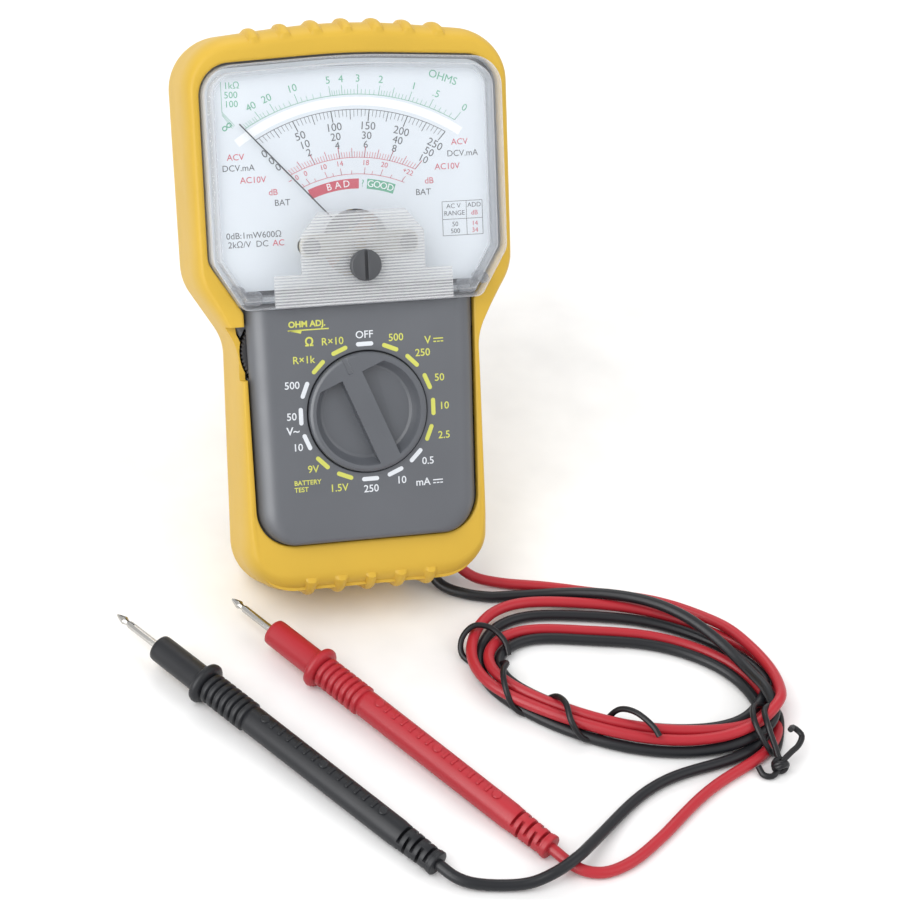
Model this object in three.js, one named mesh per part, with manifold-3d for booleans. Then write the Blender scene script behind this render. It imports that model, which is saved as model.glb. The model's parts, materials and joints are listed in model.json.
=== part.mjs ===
// Pocket analog multimeter in a moulded holster, propped on its tilt stand, with its two
// captive test leads wound into an oval coil beside it.
//
// Millimetres, +Z up. The meter is drawn in its own frame: x to the right, y up the face,
// z out of the face, with the selector's axis at x = y = 0 and the holster's back at z = 0.
// The whole meter is then leaned back by LEAN. The leads and probes are drawn on the floor.

import * as THREE from 'three';
import { mergeVertices } from 'three/addons/utils/BufferGeometryUtils.js';
import Module from 'manifold-3d';

const wasm = await Module();
wasm.setup();

// ---------------------------------------------------------------- driving dimensions
const GAP = 0.3;                 // clearance between touching pieces
const deg = THREE.MathUtils.degToRad;
const LEAN = deg(57);            // angle between the meter's back and the floor

// outlines, right half from the bottom centre to the top centre: [x, y, corner radius]
const HOLSTER_CORNERS = [[33.6, -50.6, 14], [32.6, 18.5, 14], [43, 35, 14], [43.6, 97.4, 14]];
const HOLSTER_CROWN = [0, 102, 150];
const WINDOW_CORNERS = [[31.8, 28.6, 2.5], [39.2, 41, 5], [39.3, 91, 8]];
const WINDOW_CROWN = [0, 93, 200];
const PANEL_CORNERS = [[29.6, -35.5, 8], [30.6, 28.2, 1]];

const HOLSTER_DEPTH = 33;
const HOLSTER_ROUND = { back: [5, 11], front: [3.6, 9] };   // inwards, and in depth
const HOLSTER_WALL = 1.9;
const CASE_FOOT = [33.6, -49, 13.4];   // the holster is thicker below the case than beside it
const HOLSTER_BACK = 4;          // thickness of the holster's back wall
const FLAT_LAND = 0.5;           // how much of the lower back edge is flattened to stand on
const RIB_RADIUS = 1.9;
const RIB_LENGTH = 13;
const RIB_PITCH = 8.2;
const TOP_RIBS = 7;
const BOTTOM_RIBS = 5;

const CASE_SPLIT = 18;           // where the rear and front cases meet
const CASE_TOP = 30;             // shoulder of the front case, under the holster's lip
const CASE_WALL = 2;
const PANEL_FACE = 36;
const PANEL_WALL = 2;
const PANEL_ROUND = 5;           // rounding of the panel's long edges
const WINDOW_FACE = 40;
const WINDOW_WALL = 2;
const DIAL_BOTTOM = 33;          // y of the dial plate's lower edge
const DIAL_Z = CASE_TOP + GAP;
const DIAL_THICK = 1;

const KNOB_RADIUS = 15.9;
const KNOB_FACE = 37.6;
const KNOB_TURN = deg(22.5);     // one detent left of the top

const PIVOT_Y = 44;              // the pointer's axis
const POINTER_LENGTH = 43.8;
const POINTER_REST = deg(42.6);  // left of straight up
const BRIDGE_HALF = 13;          // from the pivot to each movement screw
const ZERO_Y = 38.9;             // the zero-adjust screw's axis
const ZERO_OFFSET = 1.2;         // its eccentric pin's throw

const WHEEL = { x: -20.4, y: 17, radius: 12, z: [26.5, 30.7] };

const STAND_AXIS = { y: 33, z: 2 };
const STAND_OPEN = deg(50.7);
const STAND_WIDTH = [30, 26];    // at the hinge and at the foot
const STAND_THICK = 3;

const CELL = { y: -25, z: 13.4, radius: 7, length: 50 };
const BOARD_Z = [21, 22.4];
const CASE_SCREWS = [[-34, 84], [34, 84], [-23, -37], [23, -37]];

const LEAD_RADIUS = 1.5;
const LEAD_CORNER = [20.2, -35.6];         // centre of the case's lower right corner
const LEAD_EXIT = [11.1, 12];            // wall's distance from that centre, and height z
const LEAD_ANGLES = { black: deg(-84), red: deg(-53) };

// ---------------------------------------------------------------- materials
const paint = (color, roughness, metalness = 0) =>
  new THREE.MeshStandardMaterial({ color, roughness, metalness });
const YELLOW = paint(0xe3b23c, 0.5);
const GREY = paint(0x6c6f75, 0.55);
const DARK = paint(0x2b2c2e, 0.6);
const seeThrough = (color, opacity) =>
  new THREE.MeshStandardMaterial({ color, roughness: 0.1, opacity, transparent: true });
const CLEAR = seeThrough(0xdfe8ee, 0.35);
const PAPER = paint(0xe2eaee, 0.8);
const CREAM = paint(0xe8e2c4, 0.6);
const STEEL = paint(0xb9bcc0, 0.3, 1);
const BRASS = paint(0xc9a650, 0.35, 1);
const COPPER = paint(0xb46a3c, 0.4, 1);
const BOARD = paint(0x2f6b45, 0.6);
const BLACK = paint(0x1d1e20, 0.55);
const RED = paint(0xcf3038, 0.5);
const CELL_SKIN = paint(0x8b3a2a, 0.4);
const GLASS = seeThrough(0xe6f0f0, 0.4);

// ---------------------------------------------------------------- solids
// one clean closed body: shared vertices, no empty triangles, faces outwards
function closed(geometry) {
  const bare = geometry.clone();
  bare.deleteAttribute('normal');
  bare.deleteAttribute('uv');
  const merged = mergeVertices(bare, 1e-4);
  const position = merged.getAttribute('position');
  const kept = [];
  let volume = 0;
  const [a, b, c] = [new THREE.Vector3(), new THREE.Vector3(), new THREE.Vector3()];
  const index = merged.getIndex();
  for (let i = 0; i < index.count; i += 3) {
    const [p, q, r] = [index.getX(i), index.getX(i + 1), index.getX(i + 2)];
    if (p === q || q === r || r === p) continue;
    kept.push([p, q, r]);
    a.fromBufferAttribute(position, p);
    b.fromBufferAttribute(position, q);
    c.fromBufferAttribute(position, r);
    volume += a.dot(b.cross(c));
  }
  const turned = volume < 0 ? kept.map(([p, q, r]) => [p, r, q]) : kept;
  merged.setIndex(turned.flat());
  return merged;
}

function toManifold(geometry) {
  const mesh = closed(geometry);
  return new wasm.Manifold(new wasm.Mesh({
    numProp: 3,
    vertProperties: new Float32Array(mesh.getAttribute('position').array),
    triVerts: new Uint32Array(mesh.getIndex().array),
  }));
}

function toGeometry(manifold) {
  const mesh = manifold.getMesh();
  const geometry = new THREE.BufferGeometry();
  geometry.setAttribute('position', new THREE.BufferAttribute(new Float32Array(mesh.vertProperties), 3));
  geometry.setIndex(new THREE.BufferAttribute(new Uint32Array(mesh.triVerts), 1));
  return geometry;
}

const join = (...parts) => toGeometry(parts.map(toManifold).reduce((sum, next) => sum.add(next)));
const cut = (body, ...tools) =>
  toGeometry(tools.map(toManifold).reduce((rest, next) => rest.subtract(next), toManifold(body)));
const common = (body, tool) => toGeometry(toManifold(body).intersect(toManifold(tool)));

// ---------------------------------------------------------------- outlines
const mirrored = (corners, crown) => {
  const left = corners.map(([x, y, r]) => [-x, y, r]).reverse();
  return crown ? [...corners, crown, ...left] : [...corners, ...left];
};

// a polygon whose corners are rounded by arcs of the given radii
function rounded(corners, step = deg(15)) {
  const flat = corners.map(([x, y]) => new THREE.Vector2(x, y));
  return corners.flatMap(([, , radius], i) => {
    const corner = flat[i];
    const before = flat.at(i - 1).clone().sub(corner).normalize();
    const after = flat[(i + 1) % flat.length].clone().sub(corner).normalize();
    const turn = Math.PI - Math.acos(THREE.MathUtils.clamp(before.dot(after), -1, 1));
    const reach = radius * Math.tan(turn / 2);
    const middle = before.clone().add(after).setLength(radius / Math.cos(turn / 2)).add(corner);
    const start = corner.clone().addScaledVector(before, reach);
    const sense = Math.sign(before.cross(after)) * -1;
    const steps = Math.max(1, Math.round(turn / step));
    return Array.from({ length: steps + 1 }, (_, k) =>
      start.clone().rotateAround(middle, sense * turn * k / steps));
  });
}

// the same corners moved inwards, with the radii that keep the arcs concentric
function inset(corners, distance) {
  const flat = corners.map(([x, y]) => new THREE.Vector2(x, y));
  return corners.map(([, , radius], i) => {
    const here = flat[i];
    const into = here.clone().sub(flat.at(i - 1)).normalize();
    const out = flat[(i + 1) % flat.length].clone().sub(here).normalize();
    const inwards = new THREE.Vector2(-into.y - out.y, into.x + out.x);
    const moved = inwards.multiplyScalar(distance / (1 + into.dot(out))).add(here);
    const bend = Math.sign(into.cross(out));
    return [moved.x, moved.y, Math.max(0.3, radius - bend * distance)];
  });
}

const HOLSTER = mirrored(HOLSTER_CORNERS, HOLSTER_CROWN);
const FIT = GAP + 0.1;            // all round the case inside the holster
const CASE = inset(mirrored([CASE_FOOT, ...HOLSTER_CORNERS.slice(1)], HOLSTER_CROWN), HOLSTER_WALL + FIT);
const WINDOW = mirrored(WINDOW_CORNERS, WINDOW_CROWN);
const PANEL = mirrored(PANEL_CORNERS);

// ---------------------------------------------------------------- simple shapes
const prism = (points, low, high) =>
  new THREE.ExtrudeGeometry(new THREE.Shape(points), { depth: high - low, bevelEnabled: false })
    .translate(0, 0, low);
const slab = (corners, low, high) => prism(rounded(corners), low, high);

// an extruded outline whose two rims are rounded
function pillow(corners, low, high, [inwards, deep], segments = 3) {
  return new THREE.ExtrudeGeometry(new THREE.Shape(rounded(corners)), {
    depth: high - low - 2 * deep,
    bevelSize: inwards,
    bevelOffset: -inwards,
    bevelThickness: deep,
    bevelSegments: segments,
  }).translate(0, 0, low + deep);
}

const box = ([x0, x1], [y0, y1], [z0, z1]) => new THREE.BoxGeometry(x1 - x0, y1 - y0, z1 - z0)
  .translate((x0 + x1) / 2, (y0 + y1) / 2, (z0 + z1) / 2);

// a rod along z through (x, y)
const rod = (radius, [low, high], [x, y] = [0, 0], sides = 20) =>
  new THREE.CylinderGeometry(radius, radius, high - low, sides)
    .rotateX(Math.PI / 2).translate(x, y, (low + high) / 2);

// a rod along x
const crossRod = (radius, [left, right], [y, z], sides = 16) =>
  new THREE.CylinderGeometry(radius, radius, right - left, sides)
    .rotateZ(Math.PI / 2).translate((left + right) / 2, y, z);

// a body of revolution about z, from [radius, z] pairs
const turned = (profile, sides = 24) =>
  new THREE.LatheGeometry(profile.map(([r, z]) => new THREE.Vector2(r, z)), sides).rotateX(Math.PI / 2);

const ring = (inner, outer, [low, high], [x, y] = [0, 0], sides = 28) =>
  turned([[inner, low], [outer, low], [outer, high], [inner, high], [inner, low]], sides).translate(x, y, 0);

// a round bar along a smooth line through the points
function tube(points, radius, stepLength = 7, sides = 8) {
  const line = new THREE.CatmullRomCurve3(points.map((p) => new THREE.Vector3(...p)), false, 'centripetal');
  const section = new THREE.Shape(Array.from({ length: sides }, (_, k) => {
    const angle = 2 * Math.PI * k / sides;
    return new THREE.Vector2(radius * Math.cos(angle), radius * Math.sin(angle));
  }));
  const steps = Math.max(2, Math.round(line.getLength() / stepLength));
  return new THREE.ExtrudeGeometry(section, { steps, extrudePath: line, bevelEnabled: false });
}

const multimeter = new THREE.Group();
const meter = new THREE.Group();
meter.rotation.x = LEAN;
multimeter.add(meter);

function add(name, geometry, material, parent = meter) {
  const mesh = new THREE.Mesh(closed(geometry), material);
  mesh.name = name;
  parent.add(mesh);
  return mesh;
}

// ---------------------------------------------------------------- holster
// everything below this height (measured up the leaned meter) is the floor
function floorHeight(geometry) {
  const leaned = geometry.clone().rotateX(LEAN);
  leaned.computeBoundingBox();
  return leaned.boundingBox.min.z + FLAT_LAND;
}

const belowFloor = (height) =>
  new THREE.BoxGeometry(200, 300, 40).translate(0, 0, height - 20).rotateX(-LEAN);

function holsterBlank() {
  const ribs = [[TOP_RIBS, 101.2], [BOTTOM_RIBS, -50.0]].flatMap(([count, y]) =>
    Array.from({ length: count }, (_, k) => {
      const x = (k - (count - 1) / 2) * RIB_PITCH;
      const drop = y > 0 ? x * x * 0.0022 : 0;        // the top edge is slightly crowned
      return new THREE.CapsuleGeometry(RIB_RADIUS, RIB_LENGTH, 1, 6)
        .rotateX(Math.PI / 2).translate(x, y - drop, 19.5);
    }));
  const skin = common(pillow(HOLSTER, 0, HOLSTER_DEPTH + 20, HOLSTER_ROUND.back),
    pillow(HOLSTER, -20, HOLSTER_DEPTH, HOLSTER_ROUND.front));
  return join(skin, ...ribs);
}

const blank = holsterBlank();
const FLOOR = floorHeight(blank);

function holster() {
  const cavity = slab(inset(CASE, -FIT), HOLSTER_BACK, CASE_TOP + FIT);
  const windowOpening = slab(inset(WINDOW, -0.5), CASE_TOP - 1, HOLSTER_DEPTH + 1);
  const panelOpening = slab(inset(PANEL, -0.5), CASE_TOP - 1, HOLSTER_DEPTH + 1);
  const wheelStep = box([-60, -30.4], [9.9, 24.1], [25.5, 40]);
  const leadNotch = box([15, 60], [-60, -38], [-1, 17.5]);
  const standRecess = box([-17.5, 17.5], [-41, 35.8], [-1, HOLSTER_BACK + 1]);
  const pinHole = crossRod(1.2, [-21, 21], [STAND_AXIS.y, STAND_AXIS.z], 12);
  return cut(blank, cavity, windowOpening, panelOpening, wheelStep, leadNotch, standRecess, pinHole,
    belowFloor(FLOOR));
}
add('holster', holster(), YELLOW);

// ---------------------------------------------------------------- tilt stand
function tiltStand() {
  const { y, z } = STAND_AXIS;
  const height = Math.sin(LEAN) * y + Math.cos(LEAN) * z - FLOOR;
  const reach = height / Math.sin(LEAN + STAND_OPEN) + 0.6;
  const [wide, narrow] = STAND_WIDTH;
  const outline = mirrored([[narrow / 2, -reach, 4], [wide / 2, 0, 0.5]]);
  const leg = slab(outline, -STAND_THICK / 2, STAND_THICK / 2);
  const opening = slab(mirrored([[5.5, -reach + 12, 3], [6.5, -14, 3]]), -5, 5);
  const barrel = crossRod(2, [-17, 17], [0, 0]);
  const bore = crossRod(1.25, [-20, 20], [0, 0], 12);
  const opened = cut(join(leg, barrel), opening, bore).rotateX(STAND_OPEN).translate(0, y, z);
  return cut(opened, belowFloor(FLOOR));
}
add('tilt_stand', tiltStand(), YELLOW);
add('stand_pin', crossRod(0.9, [-20.6, 20.6], [STAND_AXIS.y, STAND_AXIS.z], 12), STEEL);

// ---------------------------------------------------------------- case halves
const leadDirection = (angle) => new THREE.Vector3(Math.cos(angle), Math.sin(angle), 0);

// a rod square to the case's lower right corner, between two distances from its centre
function cornerRod(radius, angle, [from, to], sides = 12) {
  const middle = leadDirection(angle).multiplyScalar((from + to) / 2)
    .add(new THREE.Vector3(...LEAD_CORNER, LEAD_EXIT[1]));
  return new THREE.CylinderGeometry(radius, radius, to - from, sides)
    .rotateZ(angle + Math.PI / 2).translate(middle.x, middle.y, middle.z);
}

function rearCase() {
  const low = HOLSTER_BACK + GAP;
  const floor = low + 1.7;
  const shell = cut(slab(CASE, low, CASE_SPLIT), slab(inset(CASE, CASE_WALL), floor, CASE_SPLIT + 1));
  const bosses = CASE_SCREWS.map((at) => rod(4, [floor - 0.5, CASE_SPLIT], at, 16));
  const bores = CASE_SCREWS.map((at) => rod(1.6, [low - 1, CASE_SPLIT + 1], at, 12));
  const sinks = CASE_SCREWS.map((at) => rod(3, [low - 1, low + 2.6], at, 16));
  const leadBores = Object.values(LEAD_ANGLES).map((angle) => cornerRod(2.5, angle, [7.1, 14]));
  const cellCradle = [-20, 20].map((x) =>
    cut(box([x - 1, x + 1], [CELL.y - 8, CELL.y + 8], [floor - 0.5, 11]),
      crossRod(CELL.radius + GAP, [x - 2, x + 2], [CELL.y, CELL.z], 20)));
  return cut(join(shell, ...bosses, ...cellCradle), ...bores, ...sinks, ...leadBores);
}
add('rear_case', rearCase(), GREY);

function frontCase() {
  const low = CASE_SPLIT + GAP;
  const body = slab(CASE, low, CASE_TOP);
  const long = mirrored([PANEL_CORNERS[0], [30.8, 45, 6]]);
  const [, top] = PANEL_CORNERS[1];
  const panel = common(pillow(long, PANEL_FACE - 13, PANEL_FACE, [PANEL_ROUND, PANEL_ROUND]),
    box([-60, 60], [-60, top], [CASE_TOP - 1, 60]));
  const hollow = slab(inset(CASE, CASE_WALL), low - 1, CASE_TOP - 2);
  const panelHollow = slab(inset(PANEL, 4), CASE_TOP - 3, PANEL_FACE - PANEL_WALL);
  const dialOpening = common(slab(inset(WINDOW, 4.5), CASE_TOP - 3, CASE_TOP + 1),
    box([-60, 60], [DIAL_BOTTOM + 0.6, 120], [0, 60]));
  const knobBore = rod(KNOB_RADIUS + 0.5, [PANEL_FACE - 4, PANEL_FACE + 2], [0, 0], 36);
  const [wheelLow, wheelHigh] = WHEEL.z;
  const wheelSlot = rod(WHEEL.radius + 0.5, [wheelLow - 0.6, wheelHigh + 0.6], [WHEEL.x, WHEEL.y], 36);
  const shell = cut(join(body, panel), hollow, panelHollow, dialOpening, knobBore, wheelSlot);
  const bosses = CASE_SCREWS.map((at) => rod(3.5, [low, CASE_TOP - 1.5], at, 16));
  const bores = CASE_SCREWS.map((at) => rod(1.45, [low - 1, 25], at, 12));
  return cut(join(shell, ...bosses), ...bores);
}
add('front_case', frontCase(), GREY);

CASE_SCREWS.forEach((at, k) => {
  const head = rod(2.6, [5, 6.6], at, 12);
  const shank = rod(1.1, [6.5, 24], at, 8);
  const slot = box([at[0] - 3, at[0] + 3], [at[1] - 0.4, at[1] + 0.4], [4, 5.7]);
  add(`case_screw_${k + 1}`, cut(join(head, shank), slot), STEEL);
});

for (const [colour, angle] of Object.entries(LEAD_ANGLES)) {
  const sleeve = cornerRod(2.2, angle, [LEAD_EXIT[0] - 1.7, LEAD_EXIT[0] + 1.5]);
  add(`lead_grommet_${colour}`, sleeve, DARK);
}

// ---------------------------------------------------------------- window and dial
function window() {
  const skin = pillow(WINDOW, DIAL_Z, WINDOW_FACE, [1.2, 1.2], 1);
  const hollow = slab(inset(WINDOW, WINDOW_WALL), DIAL_Z - 1, WINDOW_FACE - WINDOW_WALL);
  return cut(skin, hollow, rod(2.1, [WINDOW_FACE - 5, WINDOW_FACE + 2], [0, ZERO_Y]));
}
add('window', window(), CLEAR);

function dialPlate() {
  const plate = common(slab(inset(WINDOW, WINDOW_WALL + 0.5), DIAL_Z, DIAL_Z + DIAL_THICK),
    box([-60, 60], [DIAL_BOTTOM, 120], [0, 60]));
  const through = [DIAL_Z - 1, DIAL_Z + DIAL_THICK + 1];
  return cut(plate, rod(9, through, [0, PIVOT_Y], 32),
    rod(2.7, through, [-BRIDGE_HALF, PIVOT_Y], 16), rod(2.7, through, [BRIDGE_HALF, PIVOT_Y], 16));
}
add('dial_plate', dialPlate(), PAPER);

// ---------------------------------------------------------------- range selector
function selectorKnob() {
  const body = turned([[0, 26.3], [3.5, 26.3], [3.5, 31.2], [17.2, 31.2], [17.2, 33.4], [KNOB_RADIUS, 33.4],
    [KNOB_RADIUS, KNOB_FACE - 0.8], [KNOB_RADIUS - 0.8, KNOB_FACE], [0, KNOB_FACE]], 36);
  const dish = rod(13.4, [KNOB_FACE - 2.7, KNOB_FACE + 1], [0, 0], 32);
  const grip = box([-3.2, 3.2], [-20, 20], [KNOB_FACE - 4, KNOB_FACE + 2]);
  const groove = box([-0.7, 0.7], [11.2, 15], [KNOB_FACE - 0.9, KNOB_FACE + 1]);
  return cut(body, cut(dish, grip), groove).rotateZ(KNOB_TURN);
}
add('selector_knob', selectorKnob(), GREY);
add('wiper_carrier', rod(14, [24.5, 26], [0, 0], 28), DARK);

function wiperContact() {
  const arms = [0, 1, 2].map((k) =>
    box([-1.2, 1.2], [0, 12.5], [23.2, 24]).rotateZ(KNOB_TURN + k * 2 * Math.PI / 3));
  return join(rod(3.5, [23.2, 24], [0, 0], 16), ...arms);
}
add('wiper_contact', wiperContact(), BRASS);

// a leaf that rides in the notches under the knob's flange
function detentSpring() {
  const leaf = [[-9, -22.5], [9, -22.5], [9, -21.9], [1.6, -21.9], [0, -19.5], [-1.6, -21.9], [-9, -21.9]];
  return prism(leaf.map(([x, y]) => new THREE.Vector2(x, y)), 31.4, 33.2);
}
add('detent_spring', detentSpring(), STEEL);

// ---------------------------------------------------------------- zero adjuster
function zeroScrew() {
  const head = turned([[0, 37.2], [1.7, 37.2], [1.7, WINDOW_FACE + GAP], [4.1, WINDOW_FACE + GAP],
    [4.1, 41.7], [3.7, 42.1], [0, 42.1]], 28);
  const slot = box([-0.45, 0.45], [-5, 5], [41.2, 43]);
  const pin = rod(0.6, [35.7, 37.5], [0, ZERO_OFFSET], 10);
  return join(cut(head, slot), pin).translate(0, ZERO_Y, 0);
}
add('zero_screw', zeroScrew(), GREY);

function zeroLever() {
  const low = 35.9;
  const high = 36.7;
  const hub = ring(1.9, 3, [low, high], [0, PIVOT_Y], 20);
  const prongs = [-1, 1].map((side) =>
    box(side < 0 ? [-2.6, -1.5] : [1.5, 2.6], [38.2, PIVOT_Y - 2.2], [low, high]));
  return join(hub, ...prongs);
}
add('zero_lever', zeroLever(), CREAM);

// ---------------------------------------------------------------- moving-coil movement
const atPivot = (geometry) => geometry.translate(0, PIVOT_Y, 0);

add('yoke_ring', ring(11, 15, [11, 24], [0, PIVOT_Y], 32), STEEL);
add('core_magnet', rod(7.6, [12.2, 22.8], [0, PIVOT_Y], 28), DARK);
for (const [name, side] of [['core_spacer_upper', 1], ['core_spacer_lower', -1]]) {
  add(name, atPivot(box([-2.2, 2.2], side > 0 ? [8, 10.4] : [-10.4, -8], [15, 20])), BRASS);
}

function movingCoil() {
  const outer = box([-10.2, 10.2], [-1.5, 1.5], [10.3, 24.7]);
  const inner = box([-8.3, 8.3], [-3, 3], [11.7, 23.3]);
  return atPivot(cut(outer, inner).rotateZ(POINTER_REST));
}
add('moving_coil', movingCoil(), COPPER);
add('pivot_staff_front', rod(0.6, [25, 32.1], [0, PIVOT_Y], 10), STEEL);
add('pivot_staff_rear', rod(0.6, [9.1, 10], [0, PIVOT_Y], 10), STEEL);

function pointer() {
  const low = 32.7;
  const high = 33.1;
  const blade = prism([[-0.45, 0], [0.45, 0], [0.2, POINTER_LENGTH], [-0.2, POINTER_LENGTH]]
    .map(([x, y]) => new THREE.Vector2(x, y)), low, high);
  const tail = box([-0.5, 0.5], [-7.5, 0], [low, high]);
  const arms = box([-6, 6], [-0.4, 0.4], [low, high]);
  const weight = box([-1.3, 1.3], [-7.5, -5.5], [low - 0.2, high + 0.2]);
  return atPivot(join(rod(2, [32.4, 33.4], [0, 0], 16), blade, tail, arms, weight).rotateZ(POINTER_REST));
}
add('pointer', pointer(), DARK);

// a flat spiral ribbon
function hairspring(inner, outer, low, high, turns = 2.5) {
  const steps = 14 * turns;
  const side = (offset) => Array.from({ length: steps + 1 }, (_, k) => {
    const angle = 2 * Math.PI * turns * k / steps;
    const radius = inner + (outer - inner) * k / steps + offset;
    return new THREE.Vector2(radius * Math.cos(angle), radius * Math.sin(angle));
  });
  return atPivot(prism([...side(0.12), ...side(-0.12).reverse()], low, high));
}
add('hairspring_front', hairspring(2.4, 5, 33.7, 34.1), BRASS);
add('hairspring_rear', hairspring(1.2, 4, 9.2, 9.6), BRASS);

function frontBridge() {
  const strap = atPivot(slab(mirrored([[15.8, -3, 2.5], [15.8, 3, 2.5]]), 34.4, 35.6));
  return cut(strap, rod(1.9, [33, 37], [0, PIVOT_Y], 16),
    rod(1.3, [33, 37], [-BRIDGE_HALF, PIVOT_Y], 12), rod(1.3, [33, 37], [BRIDGE_HALF, PIVOT_Y], 12));
}
add('front_bridge', frontBridge(), CREAM);
add('jewel_screw_front', rod(1.5, [33.9, 37], [0, PIVOT_Y], 12), BRASS);

for (const [name, side] of [['left', -1], ['right', 1]]) {
  const at = [side * BRIDGE_HALF, PIVOT_Y];
  add(`bridge_pillar_${name}`, cut(rod(2.2, [24.3, 34.1], at, 16), rod(1.2, [30, 35], at, 10)), CREAM);
  add(`movement_screw_${name}`, join(rod(2.3, [35.9, 36.9], at, 16), rod(0.85, [31, 36.2], at, 8)), DARK);
}

function rearBridge() {
  const strap = box([-14.5, 14.5], [-3, 3], [7.2, 8.6]);
  const feet = [-1, 1].map((side) => box(side < 0 ? [-14.5, -11.4] : [11.4, 14.5], [-3, 3], [8, 10.7]));
  return cut(atPivot(join(strap, ...feet)), rod(1.9, [6, 9.5], [0, PIVOT_Y], 16));
}
add('rear_bridge', rearBridge(), BRASS);
add('jewel_screw_rear', rod(1.5, [6.6, 8.8], [0, PIVOT_Y], 12), BRASS);

// ---------------------------------------------------------------- ohm adjuster
function thumbwheel() {
  const teeth = 32;
  const rim = Array.from({ length: 2 * teeth }, (_, k) => {
    const angle = Math.PI * k / teeth;
    const radius = WHEEL.radius - (k % 2) * 0.5;
    return new THREE.Vector2(radius * Math.cos(angle), radius * Math.sin(angle));
  });
  return cut(prism(rim, ...WHEEL.z), rod(1.9, [20, 35], [0, 0], 14)).translate(WHEEL.x, WHEEL.y, 0);
}
add('ohm_thumbwheel', thumbwheel(), DARK);

function potBase() {
  const at = [WHEEL.x, WHEEL.y];
  return join(rod(7.5, [22.7, 26.1], at), rod(1.5, [26, 30.4], at, 12));
}
add('ohm_pot_base', potBase(), DARK);

// ---------------------------------------------------------------- board, cell and fuse
function circuitBoard() {
  const lowerHalf = box([-60, 60], [-60, 27], [0, 60]);
  const plate = common(slab(inset(CASE, CASE_WALL + 0.6), ...BOARD_Z), lowerHalf);
  return cut(plate, ...CASE_SCREWS.slice(2).map((at) => rod(4.4, [20, 24], at, 16)));
}
add('circuit_board', circuitBoard(), BOARD);

function cell() {
  const { radius, length } = CELL;
  const end = length / 2;
  const button = end - 1.5;
  return turned([[0, -end], [radius, -end], [radius, button], [2.6, button], [2.6, end], [0, end]], 20)
    .rotateY(Math.PI / 2).translate(0, CELL.y, CELL.z);
}
add('battery_cell', cell(), CELL_SKIN);
for (const [name, side] of [['negative', -1], ['positive', 1]]) {
  const x = side * (CELL.length / 2 + 0.9);
  add(`battery_contact_${name}`, box([x - 0.4, x + 0.4], [CELL.y - 4, CELL.y + 4], [8, 20.6]), STEEL);
}

const FUSE = { y: -9, z: 17.3, radius: 2.5, half: 10 };
add('fuse', crossRod(FUSE.radius, [-FUSE.half, FUSE.half], [FUSE.y, FUSE.z], 14), GLASS);
for (const [name, side] of [['left', -1], ['right', 1]]) {
  const x = side * (FUSE.half - 2.5);
  const clip = box([x - 2, x + 2], [FUSE.y - 3.6, FUSE.y + 3.6], [FUSE.z - 1.5, BOARD_Z[0] - GAP]);
  const seat = crossRod(FUSE.radius + GAP, [x - 3, x + 3], [FUSE.y, FUSE.z], 14);
  add(`fuse_clip_${name}`, cut(clip, seat), BRASS);
}

// ---------------------------------------------------------------- test leads on the floor
// where each lead isn't coiled: out of the case to the coil, and from the coil to its probe
const BLACK_RUN = [[22.1, -36.9, 5.0], [22.6, -38.5, 3.2], [25, -41.0, 2.0], [31, -44.4, 1.7],
  [39.6, -46.6, 1.6], [48.8, -46.8, 1.6], [54.9, -47.1, 1.6]];
const RED_RUN = [[28.4, -35.5, 7.1], [30.1, -37.1, 5.0], [33.8, -39.2, 3.0], [41.1, -41.3, 1.8],
  [49.9, -43.3, 1.6], [54.8, -44.1, 1.6]];
const BLACK_TAIL = [[81.6, -115.1, 1.6], [74, -115.3, 1.6], [63.5, -117.8, 1.6], [54.6, -122.8, 1.6],
  [46, -130.2, 2.0], [39.6, -136.2, 4.0], [33, -141.9, 5.6], [26.5, -144.9, 4.4], [20, -145.6, 2.3],
  [12, -144.6, 1.6], [5.2, -143.9, 2.2], [2.2, -142.4, 2.7], [0.35, -140, 3.1]];
const RED_TAIL = [[81.1, -119.4, 1.6], [76.1, -121.7, 1.6], [66.5, -129.1, 1.6], [57.3, -136.4, 1.6],
  [47, -142.9, 1.6], [39.6, -144.9, 1.6], [34.6, -143.8, 1.9], [31.4, -141.3, 2.5], [29.15, -138.25, 3.1]];

add('lead_black_run', tube(BLACK_RUN, LEAD_RADIUS, 4), BLACK, multimeter);
add('lead_red_run', tube(RED_RUN, LEAD_RADIUS, 4), RED, multimeter);
add('lead_black_tail', tube(BLACK_TAIL, LEAD_RADIUS), BLACK, multimeter);
add('lead_red_tail', tube(RED_TAIL, LEAD_RADIUS), RED, multimeter);

// the oval coil's outer shape, with a flat face where the leads enter and one where they leave
const COIL_BACK = [[91, -118.5], [100, -115], [107, -109.5], [111.5, -101], [112.3, -92], [110.5, -81],
  [106, -70], [99, -61], [90, -53.5], [80, -48], [68, -44], [55.3, -42.2]];
const COIL_FRONT = [[45, -48.9], [36, -49.6], [28, -53], [22.5, -60], [20, -68], [20.2, -77],
  [23.5, -86], [31, -93], [43, -99.6], [56, -105.6], [68, -110.2], [82, -113.2]];
const COIL_EYE = [[35.5, -66.5], [42, -64.4], [52, -66.3], [63, -69.3], [74, -72.4], [85, -78.5],
  [92, -86], [94.5, -94], [91.5, -100.5], [84, -102.8], [75, -101.5], [65, -98], [54, -93], [44, -86],
  [37.5, -78], [34.5, -71.5]];
const COIL_HEIGHT = [1.3, 7.4];

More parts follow.
